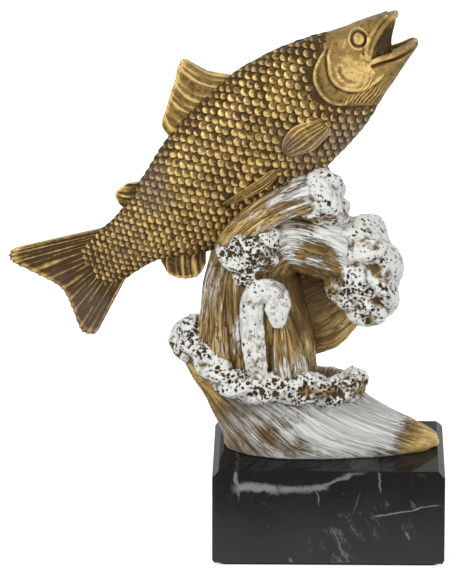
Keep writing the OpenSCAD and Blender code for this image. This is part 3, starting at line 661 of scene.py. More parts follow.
def finish_with(tree, shader, colour, rough, metal=0.0, height=None, lift=0.0):
    """Joins a finish to a shader; lift is the height of the bump in metres."""
    for key, value in (("Base Color", colour), ("Roughness", rough), ("Metallic", metal)):
        if isinstance(value, bpy.types.NodeSocket):
            tree.links.new(value, shader.inputs[key])
        elif key == "Base Color":
            shader.inputs[key].default_value = (*value, 1)
        else:
            shader.inputs[key].default_value = value
    if height is not None:
        bump = add(tree, "ShaderNodeBump", {"Height": height, "Distance": lift, "Strength": 1.0})
        tree.links.new(bump.outputs[0], shader.inputs["Normal"])


def named(tree, name, kind):
    """Reads a named value inside a geometry tree."""
    made = add(tree, "GeometryNodeInputNamedAttribute", {"Name": name}, data_type=kind)
    return made.outputs["Attribute"]


def store(tree, geometry, name, value, kind="FLOAT", domain="POINT"):
    """Keeps a value under a name on the geometry."""
    made = add(tree, "GeometryNodeStoreNamedAttribute", {"Geometry": geometry, "Name": name},
               data_type=kind, domain=domain)
    tree.links.new(value, made.inputs["Value"])
    return made.outputs[0]


def geometry_tree(name, inputs):
    """Geometry tree with named inputs, and its group input node."""
    tree = bpy.data.node_groups.new(name, "GeometryNodeTree")
    tree.interface.new_socket("Geometry", in_out="INPUT", socket_type="NodeSocketGeometry")
    tree.interface.new_socket("Geometry", in_out="OUTPUT", socket_type="NodeSocketGeometry")
    for label, kind, default in inputs:
        socket = tree.interface.new_socket(label, in_out="INPUT", socket_type=kind)
        if default is not None:
            socket.default_value = default
    return tree, add(tree, "NodeGroupInput")


def close_tree(tree, geometry, material):
    """Ends a geometry tree with real points and a material."""
    real = add(tree, "GeometryNodeRealizeInstances", {"Geometry": geometry})
    painted = add(tree, "GeometryNodeSetMaterial", {"Geometry": real.outputs[0], "Material": material})
    add(tree, "NodeGroupOutput", {"Geometry": painted.outputs[0]})


def run_tree(made, tree, values, name):
    """Runs a geometry tree on a piece with the given inputs and keeps the result as a plain mesh."""
    modifier = made.modifiers.new(tree.name, "NODES")
    modifier.node_group = tree
    for item in tree.interface.items_tree:
        if item.in_out == "INPUT" and item.name in values:
            modifier[item.identifier] = values[item.name]
    return as_mesh(made, name)


# Fish

def fish_at(along, up):
    """Place in the fish's own frame: forward and up from where the belly rests."""
    fish = bpy.context.scene.trophy_fish
    along = np.asarray(along, float)
    return np.stack([along * fish.length, np.zeros_like(along), np.asarray(up, float) * fish.depth], -1)


def to_crest(mesh):
    """Carries a mesh from the fish's own frame to its seat on the crest, and keeps where it came from."""
    fish = bpy.context.scene.trophy_fish
    keep_vector(mesh, "skin", coords(mesh))
    mesh.transform(Matrix.Translation((fish.seat_x, 0, fish.seat_z)) @ Matrix.Rotation(-fish.climb, 4, "Y"))


def body_lines(rows, shares):
    """Rows of a body at shares of its length, and the lines along its back and its belly."""
    row = row_at(rows, shares)
    return row, fish_at(row[:, 0], row[:, 1]), fish_at(row[:, 2], row[:, 3])


def side_line(rows, steps):
    """Smooth line of the side view through the rows of a table."""
    line = row_at(rows, np.linspace(0, 1, steps))
    return fish_at(line[:, 0], line[:, 1])


def body_rings(rows, shares, sides):
    """Rings round a body at shares of its length."""
    row, high, low = body_lines(rows, shares)
    tall = (high - low) / 2
    wide = np.zeros_like(tall)
    wide[:, 1] = row[:, 4] * bpy.context.scene.trophy_fish.thickness
    turn = round_turns(sides)
    return ((high + low) / 2)[:, None] + tall[:, None] * np.sin(turn)[None, :, None] \
        + wide[:, None] * np.cos(turn)[None, :, None]


def line_distance(points, line_shares):
    """Distance in the side view from a line that runs down the fish, more than zero on the head's side of
    it, and the share of the way along the line."""
    steps, batch = 160, 20000
    line = side_line(line_shares, steps)[:, (0, 2)]
    heading = np.gradient(line, axis=0)
    flat = points[:, (0, 2)]
    far, where = np.empty(len(flat)), np.empty(len(flat))
    for start in range(0, len(flat), batch):
        part = flat[start:start + batch]
        gap = part[:, None] - line[None]
        near = (gap ** 2).sum(-1).argmin(1)
        off = part - line[near]
        side = heading[near, 0] * off[:, 1] - heading[near, 1] * off[:, 0]
        far[start:start + batch] = np.sign(side) * np.hypot(*off.T)
        where[start:start + batch] = near / (steps - 1)
    return far, where


def ridge_at(distance, place, width):
    """Bell with its top at a place."""
    return np.exp(-((distance - place) / width) ** 2)


def sculpt_head(mesh):
    """Gill cover, cheek, eye, lips and throat folds, pushed out of or into the head's skin. Gives back how
    deep in the mouth each point lies."""
    fish = bpy.context.scene.trophy_fish
    points = coords(mesh)
    along, up = points[:, 0] / fish.length, points[:, 2] / fish.depth
    collar = line_distance(points, COLLAR_LINE_SHARES)[0]
    # The gill cover stands proud of the scales, and the skin behind it sinks below them
    cover = smooth_step(0.86, 0.72, up) * smooth_step(0.3, 0.38, up)
    lift = -(0.0006 + 0.0008 * cover) * smooth_step(0.0002, -0.0016, collar)
    lift += 0.00025 * cover * smooth_step(-0.0002, 0.0004, collar)
    # Plates: edge, height of the step and height of the rim along it
    for shares, step, rim in ((GILL_SHARES, 0.0008, 0.0003), (CHEEK_SHARES, 0.0007, 0.00025)):
        gap, where = line_distance(points, shares)
        ends = smooth_step(0, 0.12, where) * smooth_step(1, 0.86, where)
        plate = step * smooth_step(-0.0002, 0.0003, gap) * (1 - 0.8 * smooth_step(0.002, 0.009, gap))
        raised = rim * ridge_at(gap, 0.0009, 0.0005) - 0.4 * rim * ridge_at(gap, -0.0004, 0.0004)
        lift += ends * (plate + raised)
    gap, where = line_distance(points, DENT_SHARES)
    lift -= 0.0005 * ridge_at(gap, 0, 0.0007) * smooth_step(0, 0.25, where) * smooth_step(1, 0.7, where)
    # Eyeball, groove and ring, by distance from the middle as a share of the ring's diameter
    eye = np.hypot((along - EYE_SHARES[0]) * fish.length, (up - EYE_SHARES[1]) * fish.depth) / fish.eye
    lift += 0.0011 * np.sqrt(np.clip(1 - (eye / 0.33) ** 2, 0, 1))
    lift += 0.0003 * ridge_at(eye, 0.54, 0.06) - 0.0006 * ridge_at(eye, 0.42, 0.07)
    gap, where = line_distance(points, LIP_CREASE_SHARES)
    crease = ridge_at(gap, 0, 0.0005) * smooth_step(1, 0.8, where)
    lift -= 0.0005 * crease * smooth_step(0.0012, 0.002, np.abs(points[:, 1]))
    # Folds that run along the throat
    fold = smooth_step(0.42, 0.36, up) * smooth_step(0.18, 0.25, up) * smooth_step(0.4, 0.37, along)
    fold *= smooth_step(0.0002, 0.001, collar)
    fold_place = (0.97 * points[:, 2] - 0.22 * points[:, 0]) / 0.00115
    fold_place += 0.25 * np.sin(points[:, 0] / 0.0017) + 0.2 * np.sin(points[:, 2] / 0.0029)
    lift += 0.00025 * fold * np.cos(2 * np.pi * fold_place)
    place_points(mesh, points + normals(mesh) * lift[:, None])
    # Painted light and shade on the head: the cheek is painted brighter, and the brow, snout and throat
    # darker
    cheek = np.exp(-((along - 0.365) / 0.05) ** 2 - ((up - 0.5) / 0.2) ** 2)
    shade = 1.9 * cheek - 0.9 * smooth_step(0.78, 0.93, up) - 0.5 * smooth_step(0.44, 0.5, along)
    shade -= 0.7 * smooth_step(0.3, 0.15, up) + 0.35 * smooth_step(0.335, 0.31, along)
    keep_value(mesh, "shade", shade)
    depth = smooth_step(0.395, 0.43, along) * smooth_step(0.0055, 0.004, np.abs(points[:, 1]))
    return depth * smooth_step(0.0, 0.1, 0.62 - np.abs(up - 0.5) - 0.5)


def lip_mesh(shares, side):
    """Tube along one lip, on one side of the mouth."""
    thickness = bpy.context.scene.trophy_fish.thickness
    row = row_at(shares, np.linspace(0, 1, 60))
    middle = fish_at(row[:, 0], row[:, 1])
    middle[:, 1] = side * row[:, 2] * thickness
    along = unit(np.gradient(middle, axis=0))
    across = unit(np.cross(along, (0, 1, 0)))
    through = np.cross(along, across)
    turn = round_turns(20)
    reach = (row[:, 3] * thickness)[:, None, None]
    return skin("lip", middle[:, None] + reach * (
        across[:, None] * np.cos(turn)[None, :, None] + through[:, None] * np.sin(turn)[None, :, None]))


def brush_of(mesh, reach, height, base):
    """Keeps how much of the rubbed-on paint a point takes: more where it stands proud."""
    proud, mean_of = relief(mesh, reach)
    values = np.clip(base + 0.5 * proud / height, 0, 1)
    keep_value(mesh, "brush", 0.5 * values + 0.5 * mean_of(values))


def fish_piece(made):
    """Paints a piece of the fish, hangs it under the root body and hides the carried-over fish."""
    made.data.materials.clear()
    made.data.materials.append(fish_paint())
    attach(made, "root")
    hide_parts("fish")


def fish_paint():
    """Antique gold over a dark wash, rubbed bright where the surface stands proud, with light and shade
    painted in.
    """
    ready = bpy.data.materials.get("antique_gold")
    if ready:
        return ready
    fish = bpy.context.scene.trophy_fish
    made, tree, shader = new_material("antique_gold")
    skin_place = attribute(tree, "skin").outputs["Vector"]
    brush = attribute(tree, "brush").outputs["Fac"]
    tone = attribute(tree, "tone").outputs["Fac"]
    shade = attribute(tree, "shade").outputs["Fac"]
    plate = attribute(tree, "plate").outputs["Vector"]
    on_scale = add(tree, "ShaderNodeSeparateXYZ", {0: plate})
    speckle = noise(tree, skin_place, 1400, 4, 0.7)
    mottle = noise(tree, skin_place, 520, 4, 0.7)
    cloud = noise(tree, skin_place, 55, 3, 0.55)
    level = vary(tree, brush, 0.7, speckle)
    level = vary(tree, level, 1.1, mottle)
    level = vary(tree, level, 0.5, cloud)
    level = plus(tree, level, 0.12, tone)
    # Painted light and shade kept on the points of the head, flanks and fins
    level = plus(tree, level, 0.3, shade)
    # Raised tailward edge of each scale painted bright: rubbed gold and a painted highlight together
    wobble = maths(tree, "MULTIPLY_ADD", maths(tree, "SUBTRACT", mottle, 0.5), 1.2, on_scale.outputs["X"])
    edge_rub_and_highlight = maths(tree, "MULTIPLY", map_range(tree, wobble, 0.05, 0.7, 0.2, 0.95), on_scale.outputs["Z"])
    flat = vectors(tree, "MULTIPLY", plate, (1, 1, 0))
    edge = add(tree, "ShaderNodeVectorMath", {0: flat}, operation="LENGTH").outputs["Value"]
    level = maths(tree, "ADD", level, edge_rub_and_highlight)
    level = maths(tree, "SUBTRACT", level, map_range(tree, edge, 0.84, 1, 0, 0.7))
    body = blend_colour(tree, map_range(tree, level, 0.12, 0.55), fish.wash, fish.gold)
    body = blend_colour(tree, map_range(tree, level, 0.6, 1.1), body, fish.shine)
    patch = map_range(tree, noise(tree, skin_place, 38, 2, 0.5), 0.54, 0.66, 0, 0.65)
    matt = blend_colour(tree, map_range(tree, level, 0.2, 0.9), toned(fish.worn, 0.35), fish.worn)
    body = blend_colour(tree, patch, body, matt)
    metal = map_range(tree, level, 0.3, 0.9, 0.1, 0.5)
    metal = maths(tree, "MULTIPLY", metal, rest_of(tree, patch))
    rough = map_range(tree, level, 0.3, 1, 0.6, 0.36)
    grain = plus(tree, speckle, 1.5, mottle)
    finish_with(tree, shader, body, rough, metal, grain, 0.00015)
    shader.inputs["Specular IOR Level"].default_value = 0.25
    return made


class TROPHY_OT_fish_trunk(bpy.types.Operator):
    """Body of the fish from the gills to the root of the tail"""
    bl_idname = "trophy.fish_trunk"
    bl_label = "Fish trunk"

    def execute(self, context):
        rings = body_rings(BODY_SHARES, np.linspace(0.04, 1, 220), 140)
        mesh = skin("fish_trunk", rings)
        points = coords(mesh)
        collar = line_distance(points, COLLAR_LINE_SHARES)[0]
        sink = 0.00012 + 0.0022 * smooth_step(-0.0002, 0.0022, collar)
        place_points(mesh, points - normals(mesh) * sink[:, None])
        keep_value(mesh, "brush", np.full(len(points), 0.12))
        to_crest(mesh)
        fish_piece(new_object("fish_trunk", mesh))
        return {"FINISHED"}


class TROPHY_OT_fish_head(bpy.types.Operator):
    """Head with its open jaws, gill cover, cheek and eyes"""
    bl_idname = "trophy.fish_head"
    bl_label = "Fish head"

    def execute(self, context):
        parts = [skin("head_core", body_rings(BODY_SHARES, np.linspace(0, 0.32, 50), 96))]
        for rows in (UPPER_JAW_SHARES, LOWER_JAW_SHARES, MOUTH_SHARES):
            parts.append(skin("jaw", body_rings(rows, np.linspace(0, 1, 40), 64)))
        parts += [lip_mesh(shares, side) for shares in LIP_SHARES for side in (-1, 1)]
        head = remeshed(joined("head_parts", parts), 0.0003, 3, "fish_head")
        gullet = sculpt_head(head.data)
        brush_of(head.data, 8, 0.00022, 0.42)
        keep_value(head.data, "brush", kept_values(head.data, "brush") * (1 - 0.9 * gullet))
        to_crest(head.data)
        fish_piece(head)
        return {"FINISHED"}


def flank_points(shares, turns, side):
    """Points on the flank at shares of the way to the tail and turns up from the flank's middle."""
    row, high, low = body_lines(BODY_SHARES, shares)
    points = (high + low) / 2 + (high - low) / 2 * np.sin(turns)[:, None]
    points[:, 1] = side * row[:, 4] * bpy.context.scene.trophy_fish.thickness * np.cos(turns)
    return points


def inside(points, outline):
    """Whether points of the side view lie inside an outline."""
    x, z = points[:, 0], points[:, 2]
    odd = np.zeros(len(points), bool)
    for (x0, _, z0), (x1, _, z1) in zip(outline, np.roll(outline, -1, 0)):
        crosses = (z0 > z) != (z1 > z)
        odd ^= crosses & (x < (x1 - x0) * (z - z0) / (z1 - z0 + 1e-12) + x0)
    return odd


def scale_lattice(side):
    """Centres, outward and tailward directions, sizes, rise and shade of the scales on one flank."""
    fish = bpy.context.scene.trophy_fish
    # Length of the flank counted in scales, which grow smaller towards the tail
    table = np.linspace(0, 1, 500)
    row = row_at(BODY_SHARES, table)
    middle = (row[:, 0] + row[:, 2]) / 2 * fish.length
    pitch = fish.tail_pitch + (fish.pitch - fish.tail_pitch) * smooth_step(-0.34, -0.02, middle / fish.length)
    steps = np.concatenate([[0], np.cumsum(np.abs(np.diff(middle)) / pitch[1:])])
    # Leaning lattice of triangles, one scale on each corner
    first = np.array([np.cos(SCALE_LEAN), np.sin(SCALE_LEAN)])
    second = np.array([np.cos(SCALE_LEAN + np.pi / 3), np.sin(SCALE_LEAN + np.pi / 3)])
    i, j = np.meshgrid(np.arange(-LATTICE_REACH, LATTICE_REACH), np.arange(-LATTICE_REACH, LATTICE_REACH))
    spots = i.reshape(-1, 1) * first + j.reshape(-1, 1) * second
    x = -spots[:, 0]
    keep = (x > 0) & (x < steps[-1]) & (np.abs(spots[:, 1]) < LATTICE_ROWS)
    x, w = x[keep], spots[keep, 1]
    shares = np.interp(x, steps, table)
    sizes = np.interp(shares, table, pitch)
    row, high, low = body_lines(BODY_SHARES, shares)
    # Angle round the body at which the arc from the middle of the flank reaches each scale
    tall = np.linalg.norm(high - low, axis=1) / 2
    wide = row[:, 4] * fish.thickness
    turns = np.linspace(0, np.pi / 2, 40)
    arcs = np.hypot(tall[:, None] * np.cos(turns), wide[:, None] * np.sin(turns))
    arcs = np.cumsum((arcs[:, 1:] + arcs[:, :-1]) / 2 * turns[1], axis=1)
    arcs = np.concatenate([np.zeros((len(arcs), 1)), arcs], 1)
    reach = np.abs(w) * sizes
    keep = reach < arcs[:, -1] - 0.1 * sizes
    angles = np.array([np.interp(r, a, turns) for r, a in zip(reach[keep], arcs[keep])]) * np.sign(w[keep])
    shares, sizes = shares[keep], sizes[keep]
    points = flank_points(shares, angles, side)
    tailward = unit(flank_points(shares + 0.004, angles, side) - flank_points(shares - 0.004, angles, side))
    round_body = flank_points(shares, angles + 0.02, side) - flank_points(shares, angles - 0.02, side)
    outward = unit(np.cross(tailward, round_body))
    outward *= np.sign((outward * points)[:, 1:2] + 1e-9)
    flip = (outward * (points - fish_at(points[:, 0] / fish.length, 0.5 + 0 * shares))).sum(1) < 0
    outward[flip] *= -1
    # Scales rise from the collar on, and lie flatter on the back, on the belly and at the tail
    nape = smooth_step(0.8, 0.9, points[:, 2] / fish.depth)
    collar = line_distance(points, COLLAR_LINE_SHARES)[0] - 0.0035 * nape
    rise = smooth_step(-0.0004, -0.004, collar) * (1 - 0.75 * smooth_step(0.95, 1.45, np.abs(angles)))
    rise *= 1 - 0.5 * smooth_step(0.9, 1, shares)
    sizes = sizes * (0.78 + 0.22 * smooth_step(0, -0.005, collar))
    # None below the fins that lie on the flank
    bare = np.zeros(len(points), bool)
    fins = ((PECTORAL_UPPER_SHARES, PECTORAL_LOWER_SHARES), (PELVIC_UPPER_SHARES, PELVIC_LOWER_SHARES))
    for upper, lower in fins:
        bare |= inside(points, np.concatenate([side_line(upper, 24), side_line(lower, 24)[::-1]]))
    keep = (collar < -0.0003) & ~bare & (shares < 0.985)
    # Painted shade: darker where the flank turns away to the back and the belly and in the step by the gill
    # cover, and darker towards the tail
    shade = 0.25 - 0.9 * smooth_step(0.75, 1.35, np.abs(angles)) - 0.5 * smooth_step(-0.006, 0, collar)
    shade -= 0.35 * smooth_step(0.75, 0.95, shares)
    return [values[keep] for values in (points, outward, tailward, sizes, rise, shade)]


def scale_tree(material):
    """Puts a tilted dome on each point, raised towards the tail, and keeps the place on it for the paint."""
    tree, given = geometry_tree("Fish scales", [
        ("Length share", "NodeSocketFloat", 1.42), ("Width share", "NodeSocketFloat", 1.14),
        ("Dome share", "NodeSocketFloat", 0.13), ("Tilt share", "NodeSocketFloat", 0.27),
        ("Jitter", "NodeSocketFloat", 0.08), ("Seed", "NodeSocketInt", 4),
    ])
    ball = add(tree, "GeometryNodeMeshUVSphere", {"Segments": 12, "Rings": 8, "Radius": 1.0})
    place = add(tree, "ShaderNodeSeparateXYZ", {0: add(tree, "GeometryNodeInputPosition").outputs[0]})
    low = add(tree, "FunctionNodeCompare", {0: place.outputs["Z"], 1: -0.45}, operation="LESS_THAN")
    cap = add(tree, "GeometryNodeDeleteGeometry", {
        "Geometry": ball.outputs["Mesh"], "Selection": low.outputs[0],
    })
    spot = add(tree, "ShaderNodeCombineXYZ", {"X": place.outputs["X"], "Y": place.outputs["Y"], "Z": 1.0})
    rubbed = store(tree, cap.outputs[0], "plate", spot.outputs[0], "FLOAT_VECTOR")
    height = maths(tree, "ADD", maths(tree, "MULTIPLY", place.outputs["Z"], given.outputs["Dome share"]),
                   maths(tree, "MULTIPLY", place.outputs["X"], given.outputs["Tilt share"]))
    half_x, half_y = (maths(tree, "MULTIPLY", place.outputs[axis], 0.5) for axis in ("X", "Y"))
    shaped = add(tree, "ShaderNodeCombineXYZ", {
        "X": maths(tree, "MULTIPLY", half_x, given.outputs["Length share"]),
        "Y": maths(tree, "MULTIPLY", half_y, given.outputs["Width share"]),
        "Z": height,
    })
    dome = add(tree, "GeometryNodeSetPosition", {"Geometry": rubbed, "Position": shaped.outputs[0]})
    turn = add(tree, "FunctionNodeAxesToRotation", {
        "Primary Axis": named(tree, "outward", "FLOAT_VECTOR"),
        "Secondary Axis": named(tree, "tailward", "FLOAT_VECTOR"),
    }, primary_axis="Z", secondary_axis="X")
    jitter = add(tree, "FunctionNodeRandomValue", {"Seed": given.outputs["Seed"]}, data_type="FLOAT")
    tree.links.new(maths(tree, "SUBTRACT", 1.0, given.outputs["Jitter"]), jitter.inputs[2])
    tree.links.new(maths(tree, "ADD", 1.0, given.outputs["Jitter"]), jitter.inputs[3])
    size = maths(tree, "MULTIPLY", named(tree, "size", "FLOAT"), jitter.outputs[1])
    grown = add(tree, "ShaderNodeCombineXYZ", {
        "X": size, "Y": size, "Z": maths(tree, "MULTIPLY", size, named(tree, "rise", "FLOAT")),
    })
    spread = add(tree, "GeometryNodeInstanceOnPoints", {
        "Points": given.outputs["Geometry"], "Instance": dome.outputs[0], "Rotation": turn.outputs[0],
        "Scale": grown.outputs[0],
    })
    shade = add(tree, "FunctionNodeRandomValue", {"Seed": 9}, data_type="FLOAT")
    shade.inputs[2].default_value = -1
    shade.inputs[3].default_value = 1
    close_tree(tree, store(tree, spread.outputs[0], "tone", shade.outputs[1], domain="INSTANCE"), material)
    return tree


class TROPHY_OT_fish_scales(bpy.types.Operator):
    """Domed scales on both flanks"""
    bl_idname = "trophy.fish_scales"
    bl_label = "Fish scales"

    def execute(self, context):
        material = fish_paint()
        tree = scale_tree(material)
        for side, name in ((-1, "fish_scales_right"), (1, "fish_scales_left")):
            points, outward, tailward, sizes, rise, shade = scale_lattice(side)
            if len(points) < LEAST_SCALES:
                raise RuntimeError("the lattice left a flank almost without scales")
            mesh = bpy.data.meshes.new(name)
            mesh.from_pydata(points.tolist(), [], [])
            for label, vector in (("outward", outward), ("tailward", tailward)):
                keep_vector(mesh, label, vector)
            for label, values in (("size", sizes), ("rise", rise), ("shade", shade)):
                keep_value(mesh, label, values)
            scales = run_tree(new_object(name + "_spots", mesh), tree, {"Seed": 4 + side}, name)
            to_crest(scales.data)
            fish_piece(scales)
        return {"FINISHED"}


def ray_level(phase):
    """Height of a fin across its rays, 0 in the webs and 1 on a ray."""
    return np.exp(-((phase - np.round(phase)) / 0.2) ** 2)


def moved_aside(body, width):
    """Points of the side view, moved sideways."""
    moved = body.copy()
    moved[..., 1] = width
    return moved


def blade_mesh(name, faces, bright, shade):
    """Fin closed between its two faces, with how much paint its points take and the light and shade painted
    on it.
    """
    mesh = skin(name, np.concatenate(faces, 1))
    keep_value(mesh, "brush", np.concatenate([np.concatenate(bright, 1).ravel(), [0.3, 0.3]]))
    keep_value(mesh, "shade", np.full(len(mesh.vertices), shade))
    return mesh


def fin_mesh(name, root, edge, rays, bow, shade):
    """Fin of fanned rays between a root line and an edge line, ridged along each ray."""
    fish = bpy.context.scene.trophy_fish
    columns, rows = rays * 14 + 1, 30
    share, out = np.linspace(0, 1, columns), np.linspace(0, 1, rows)
    low, top = side_line(root, columns), side_line(edge, columns)
    # The rays stand unevenly, and each wanders a little on its way out
    phase = rays * share + 0.22 * np.sin(11 * share) + 0.12 * np.sin(29 * share + 1)
    corners = np.exp(-share / 0.035) + np.exp(-(1 - share) / 0.035)
    top = low + (top - low) * (1 + 0.02 * (ray_level(phase) - 0.5) - 0.07 * corners)[:, None]
    ray = top - low
    side = np.stack([-ray[:, 2], 0 * share, ray[:, 0]], -1)
    ease = out ** 0.85
    body = low[:, None] + ray[:, None] * ease[None, :, None] \
        + side[:, None] * (bow * np.sin(np.pi * ease))[None, :, None]
    wander = phase[:, None] + 0.07 * np.sin(7 * ease[None] + 5 * phase[:, None])
    level = ray_level(wander) + 0.35 * ray_level(2 * wander + 0.5) * ease[None]
    level = np.maximum(level * (0.7 + 0.3 * np.sin(3 * phase[:, None] + 4 * ease[None])), 0)
    rim = ridge_at(ease[None], 0.95, 0.05) + ridge_at(share[:, None] * (1 - share[:, None]), 0, 0.03)
    level = np.clip(level + 0.6 * rim, 0, 1.2)
    half = (fish.fin_root + (fish.fin_edge - fish.fin_root) * ease[None]) / 2
    end = np.sqrt(np.clip(1 - ((ease[None] - 0.94) / 0.07).clip(0) ** 2, 0.2, 1))
    half = half * (0.62 + 0.4 * level) * end
    faces = [moved_aside(body, half)[:, ::-1], moved_aside(body, -half)]
    bright = np.clip(1.05 * level - 0.1, 0, 1)
    return blade_mesh(name, faces, [bright[:, ::-1], bright], shade)


def flank_width(points):
    """Half thickness of the body at places of the side view."""
    row, high, low = body_lines(BODY_SHARES, np.linspace(0, 1, 240))
    middle, tall = (high + low) / 2, (high - low) / 2
    long = np.linalg.norm(tall, axis=1)
    tall = tall / long[:, None]
    gap = points[:, None] - middle[None]
    climb = (gap * tall[None]).sum(-1) / long[None]
    off = np.abs(gap[..., 0] * tall[None, :, 2] - gap[..., 2] * tall[None, :, 0])
    near = off.argmin(1)
    share = np.clip(climb[np.arange(len(points)), near], -1, 1)
    return row[near, 4] * bpy.context.scene.trophy_fish.thickness * np.sqrt(1 - share ** 2)


def leaf_mesh(name, upper, lower, rays, side, proud):
    """Fin that lies on the flank, its rays running from the root to the tip."""
    columns, rows = 90, rays * 12 + 1
    share, across = np.linspace(0, 1, columns), np.linspace(0, 1, rows)
    top, low = side_line(upper, columns), side_line(lower, columns)
    body = top[:, None] + (low - top)[:, None] * across[None, :, None]
    width = flank_width(body.reshape(-1, 3)).reshape(columns, rows)
    width = 0.3 * width + 0.7 * width.mean()
    arch = np.sqrt(np.clip(1 - (2 * across - 1) ** 2, 0, 1)) ** 0.7
    ends = np.sqrt(np.clip(1 - (1 - share / 0.12).clip(0) ** 2, 0, 1))
    ends = ends * np.sqrt(np.clip((1 - share) / 0.1, 0, 1))
    phase = rays * across[None] + 0.2 * np.sin(5 * share[:, None] + 9 * across[None])
    level = ray_level(phase) * (0.75 + 0.25 * np.sin(11 * phase + 3 * share[:, None]))
    level = np.maximum(level, ridge_at(arch, 0.35, 0.3)[None])
    outer = width + proud * (0.35 + 0.65 * arch[None] * ends[:, None]) * (0.72 + 0.32 * level)
    inner = width - 0.001
    faces = [moved_aside(body, side * outer), moved_aside(body, side * inner)[:, ::-1]]
    bright = np.clip(0.12 + 0.75 * level, 0, 1)
    # Painted light: the fins on the flank are painted brighter all over
    return blade_mesh(name, faces, [bright, np.full_like(bright, 0.1)], 0.6)


class TROPHY_OT_fish_fins(bpy.types.Operator):
    """Dorsal, adipose, anal and tail fins, and the two pairs"""
    bl_idname = "trophy.fish_fins"
    bl_label = "Fish fins"

    def execute(self, context):
        # Name, root, edge, rays, bow of the rays as a share of their length, and brightness: light and shade
        # painted over the whole fin
        single = [
            ("fish_dorsal_fin", DORSAL_ROOT_SHARES, DORSAL_EDGE_SHARES, 9, 0.12, 1.3),
            ("fish_adipose_fin", ADIPOSE_ROOT_SHARES, ADIPOSE_EDGE_SHARES, 4, 0.06, 0.3),
            ("fish_anal_fin", ANAL_ROOT_SHARES, ANAL_EDGE_SHARES, 8, -0.06, 0.5),
            ("fish_tail_fin", TAIL_ROOT_SHARES, TAIL_EDGE_SHARES, 20, 0.0, -0.3),
        ]
        for name, root, edge, rays, bow, shade in single:
            mesh = fin_mesh(name, root, edge, rays, bow, shade)
            to_crest(mesh)
            fish_piece(new_object(name, mesh))
        # Name, upper edge, lower edge, rays, and how far the fin stands off the flank
        pairs = [
            ("fish_pectoral_fin", PECTORAL_UPPER_SHARES, PECTORAL_LOWER_SHARES, 6, 0.0017),
            ("fish_pelvic_fin", PELVIC_UPPER_SHARES, PELVIC_LOWER_SHARES, 4, 0.0019),
        ]
        for name, upper, lower, rays, proud in pairs:
            for side, label in ((1, "left"), (-1, "right")):
                mesh = leaf_mesh(name, upper, lower, rays, side, proud)
                to_crest(mesh)
                fish_piece(new_object(f"{name}_{label}", mesh))
        return {"FINISHED"}


# Wave

def wave_at(rows):
    """Place in the wave, from the middle of the plinth's top."""
    wave = bpy.context.scene.trophy_wave
    rows = np.asarray(rows, float)
    return rows[..., :3] * np.array([wave.width, wave.depth, wave.height]) + np.array([0, 0, plinth_high.z])


def stream_rings(rows, rings, sides, side=(0, 1, 0), ribs=0, rib_share=0, stations=0):
    """Rings round a middle line, its rows, its length at each ring and the turns round it. Ribs run along
    the line, and a roll of foam swells at each station."""
    wave = bpy.context.scene.trophy_wave
    row = row_at(rows, np.linspace(0, 1, rings))
    middle = wave_at(row)
    along = unit(np.gradient(middle, axis=0))
    side = np.asarray(side, float)
    across = unit(side - along * (along @ side)[:, None])
    through = np.cross(along, across)
    turn = round_turns(sides)
    place = np.linspace(0, stations, rings)[:, None]
    swell = FOAM_SHARE * np.sin(FOAM_SWELLS * turn[None, :] + ROLL_TURN * place) * (stations > 0)
    grow = (1 + rib_share * np.cos(ribs * turn)[None, :] * (ribs > 0) + swell)[..., None]
    reach = row[:, 3:5] * wave.depth
    found = middle[:, None] + across[:, None] * reach[:, :1, None] * np.cos(turn)[None, :, None] * grow \
        + through[:, None] * reach[:, 1:, None] * np.sin(turn)[None, :, None] * grow
    length = np.concatenate([[0], np.cumsum(np.linalg.norm(np.diff(middle, axis=0), axis=1))])
    return found, row, length, turn


def with_caps(values):
    """Adds a value for each of a skin's two end points to a table of rings."""
    flat = values.reshape(-1, values.shape[-1])
    return np.concatenate([flat, values[:1].mean(1), values[-1:].mean(1)])


def paint_form(mesh, flow, paints):
    """Keeps a form's flow and its white, gold and foam, changed where the brush went over it again and where
    shade is painted.
    """
    reach = bpy.context.scene.trophy_wave.depth
    keep_vector(mesh, "flow", flow)
    paints = np.array(paints, float)
    points = coords(mesh)
    for line, width, change in BRUSHED_AND_SHADED_SHARES:
        spots = wave_at(row_at(line, np.linspace(0, 1, 12)))
        gap = (points[:, None] - spots[None]) * np.array([1, 0.45, 1])
        near = np.sqrt((gap ** 2).sum(-1)).min(1) / (width * reach)
        paints += np.exp(-near ** 2)[:, None] * np.array(change)
    for k, name in enumerate(PAINTS):
        keep_value(mesh, name, paints[:, k])
    return mesh


def stream_mesh(rows, rings, sides, number, mirrored, ribs, rib_share):
    """Stream of water with its flow and its paints kept on its points."""
    wave = bpy.context.scene.trophy_wave
    found, row, length, turn = stream_rings(rows, rings, sides, ribs=ribs, rib_share=rib_share)
    if mirrored:
        found[..., 1] *= -1
    radius = wave.depth * (row[:, 3] + row[:, 4]).mean() / 2
    angle = np.broadcast_to(turn[None, :], (rings, sides))
    flow = np.stack([
        np.broadcast_to(length[:, None], angle.shape) + 0.31 * number,
        radius * np.cos(angle), radius * np.sin(angle),
    ], -1)
    paints = np.broadcast_to(row[:, None, 5:8], (rings, sides, 3))
    return paint_form(skin("stream", found), with_caps(flow), with_caps(paints))


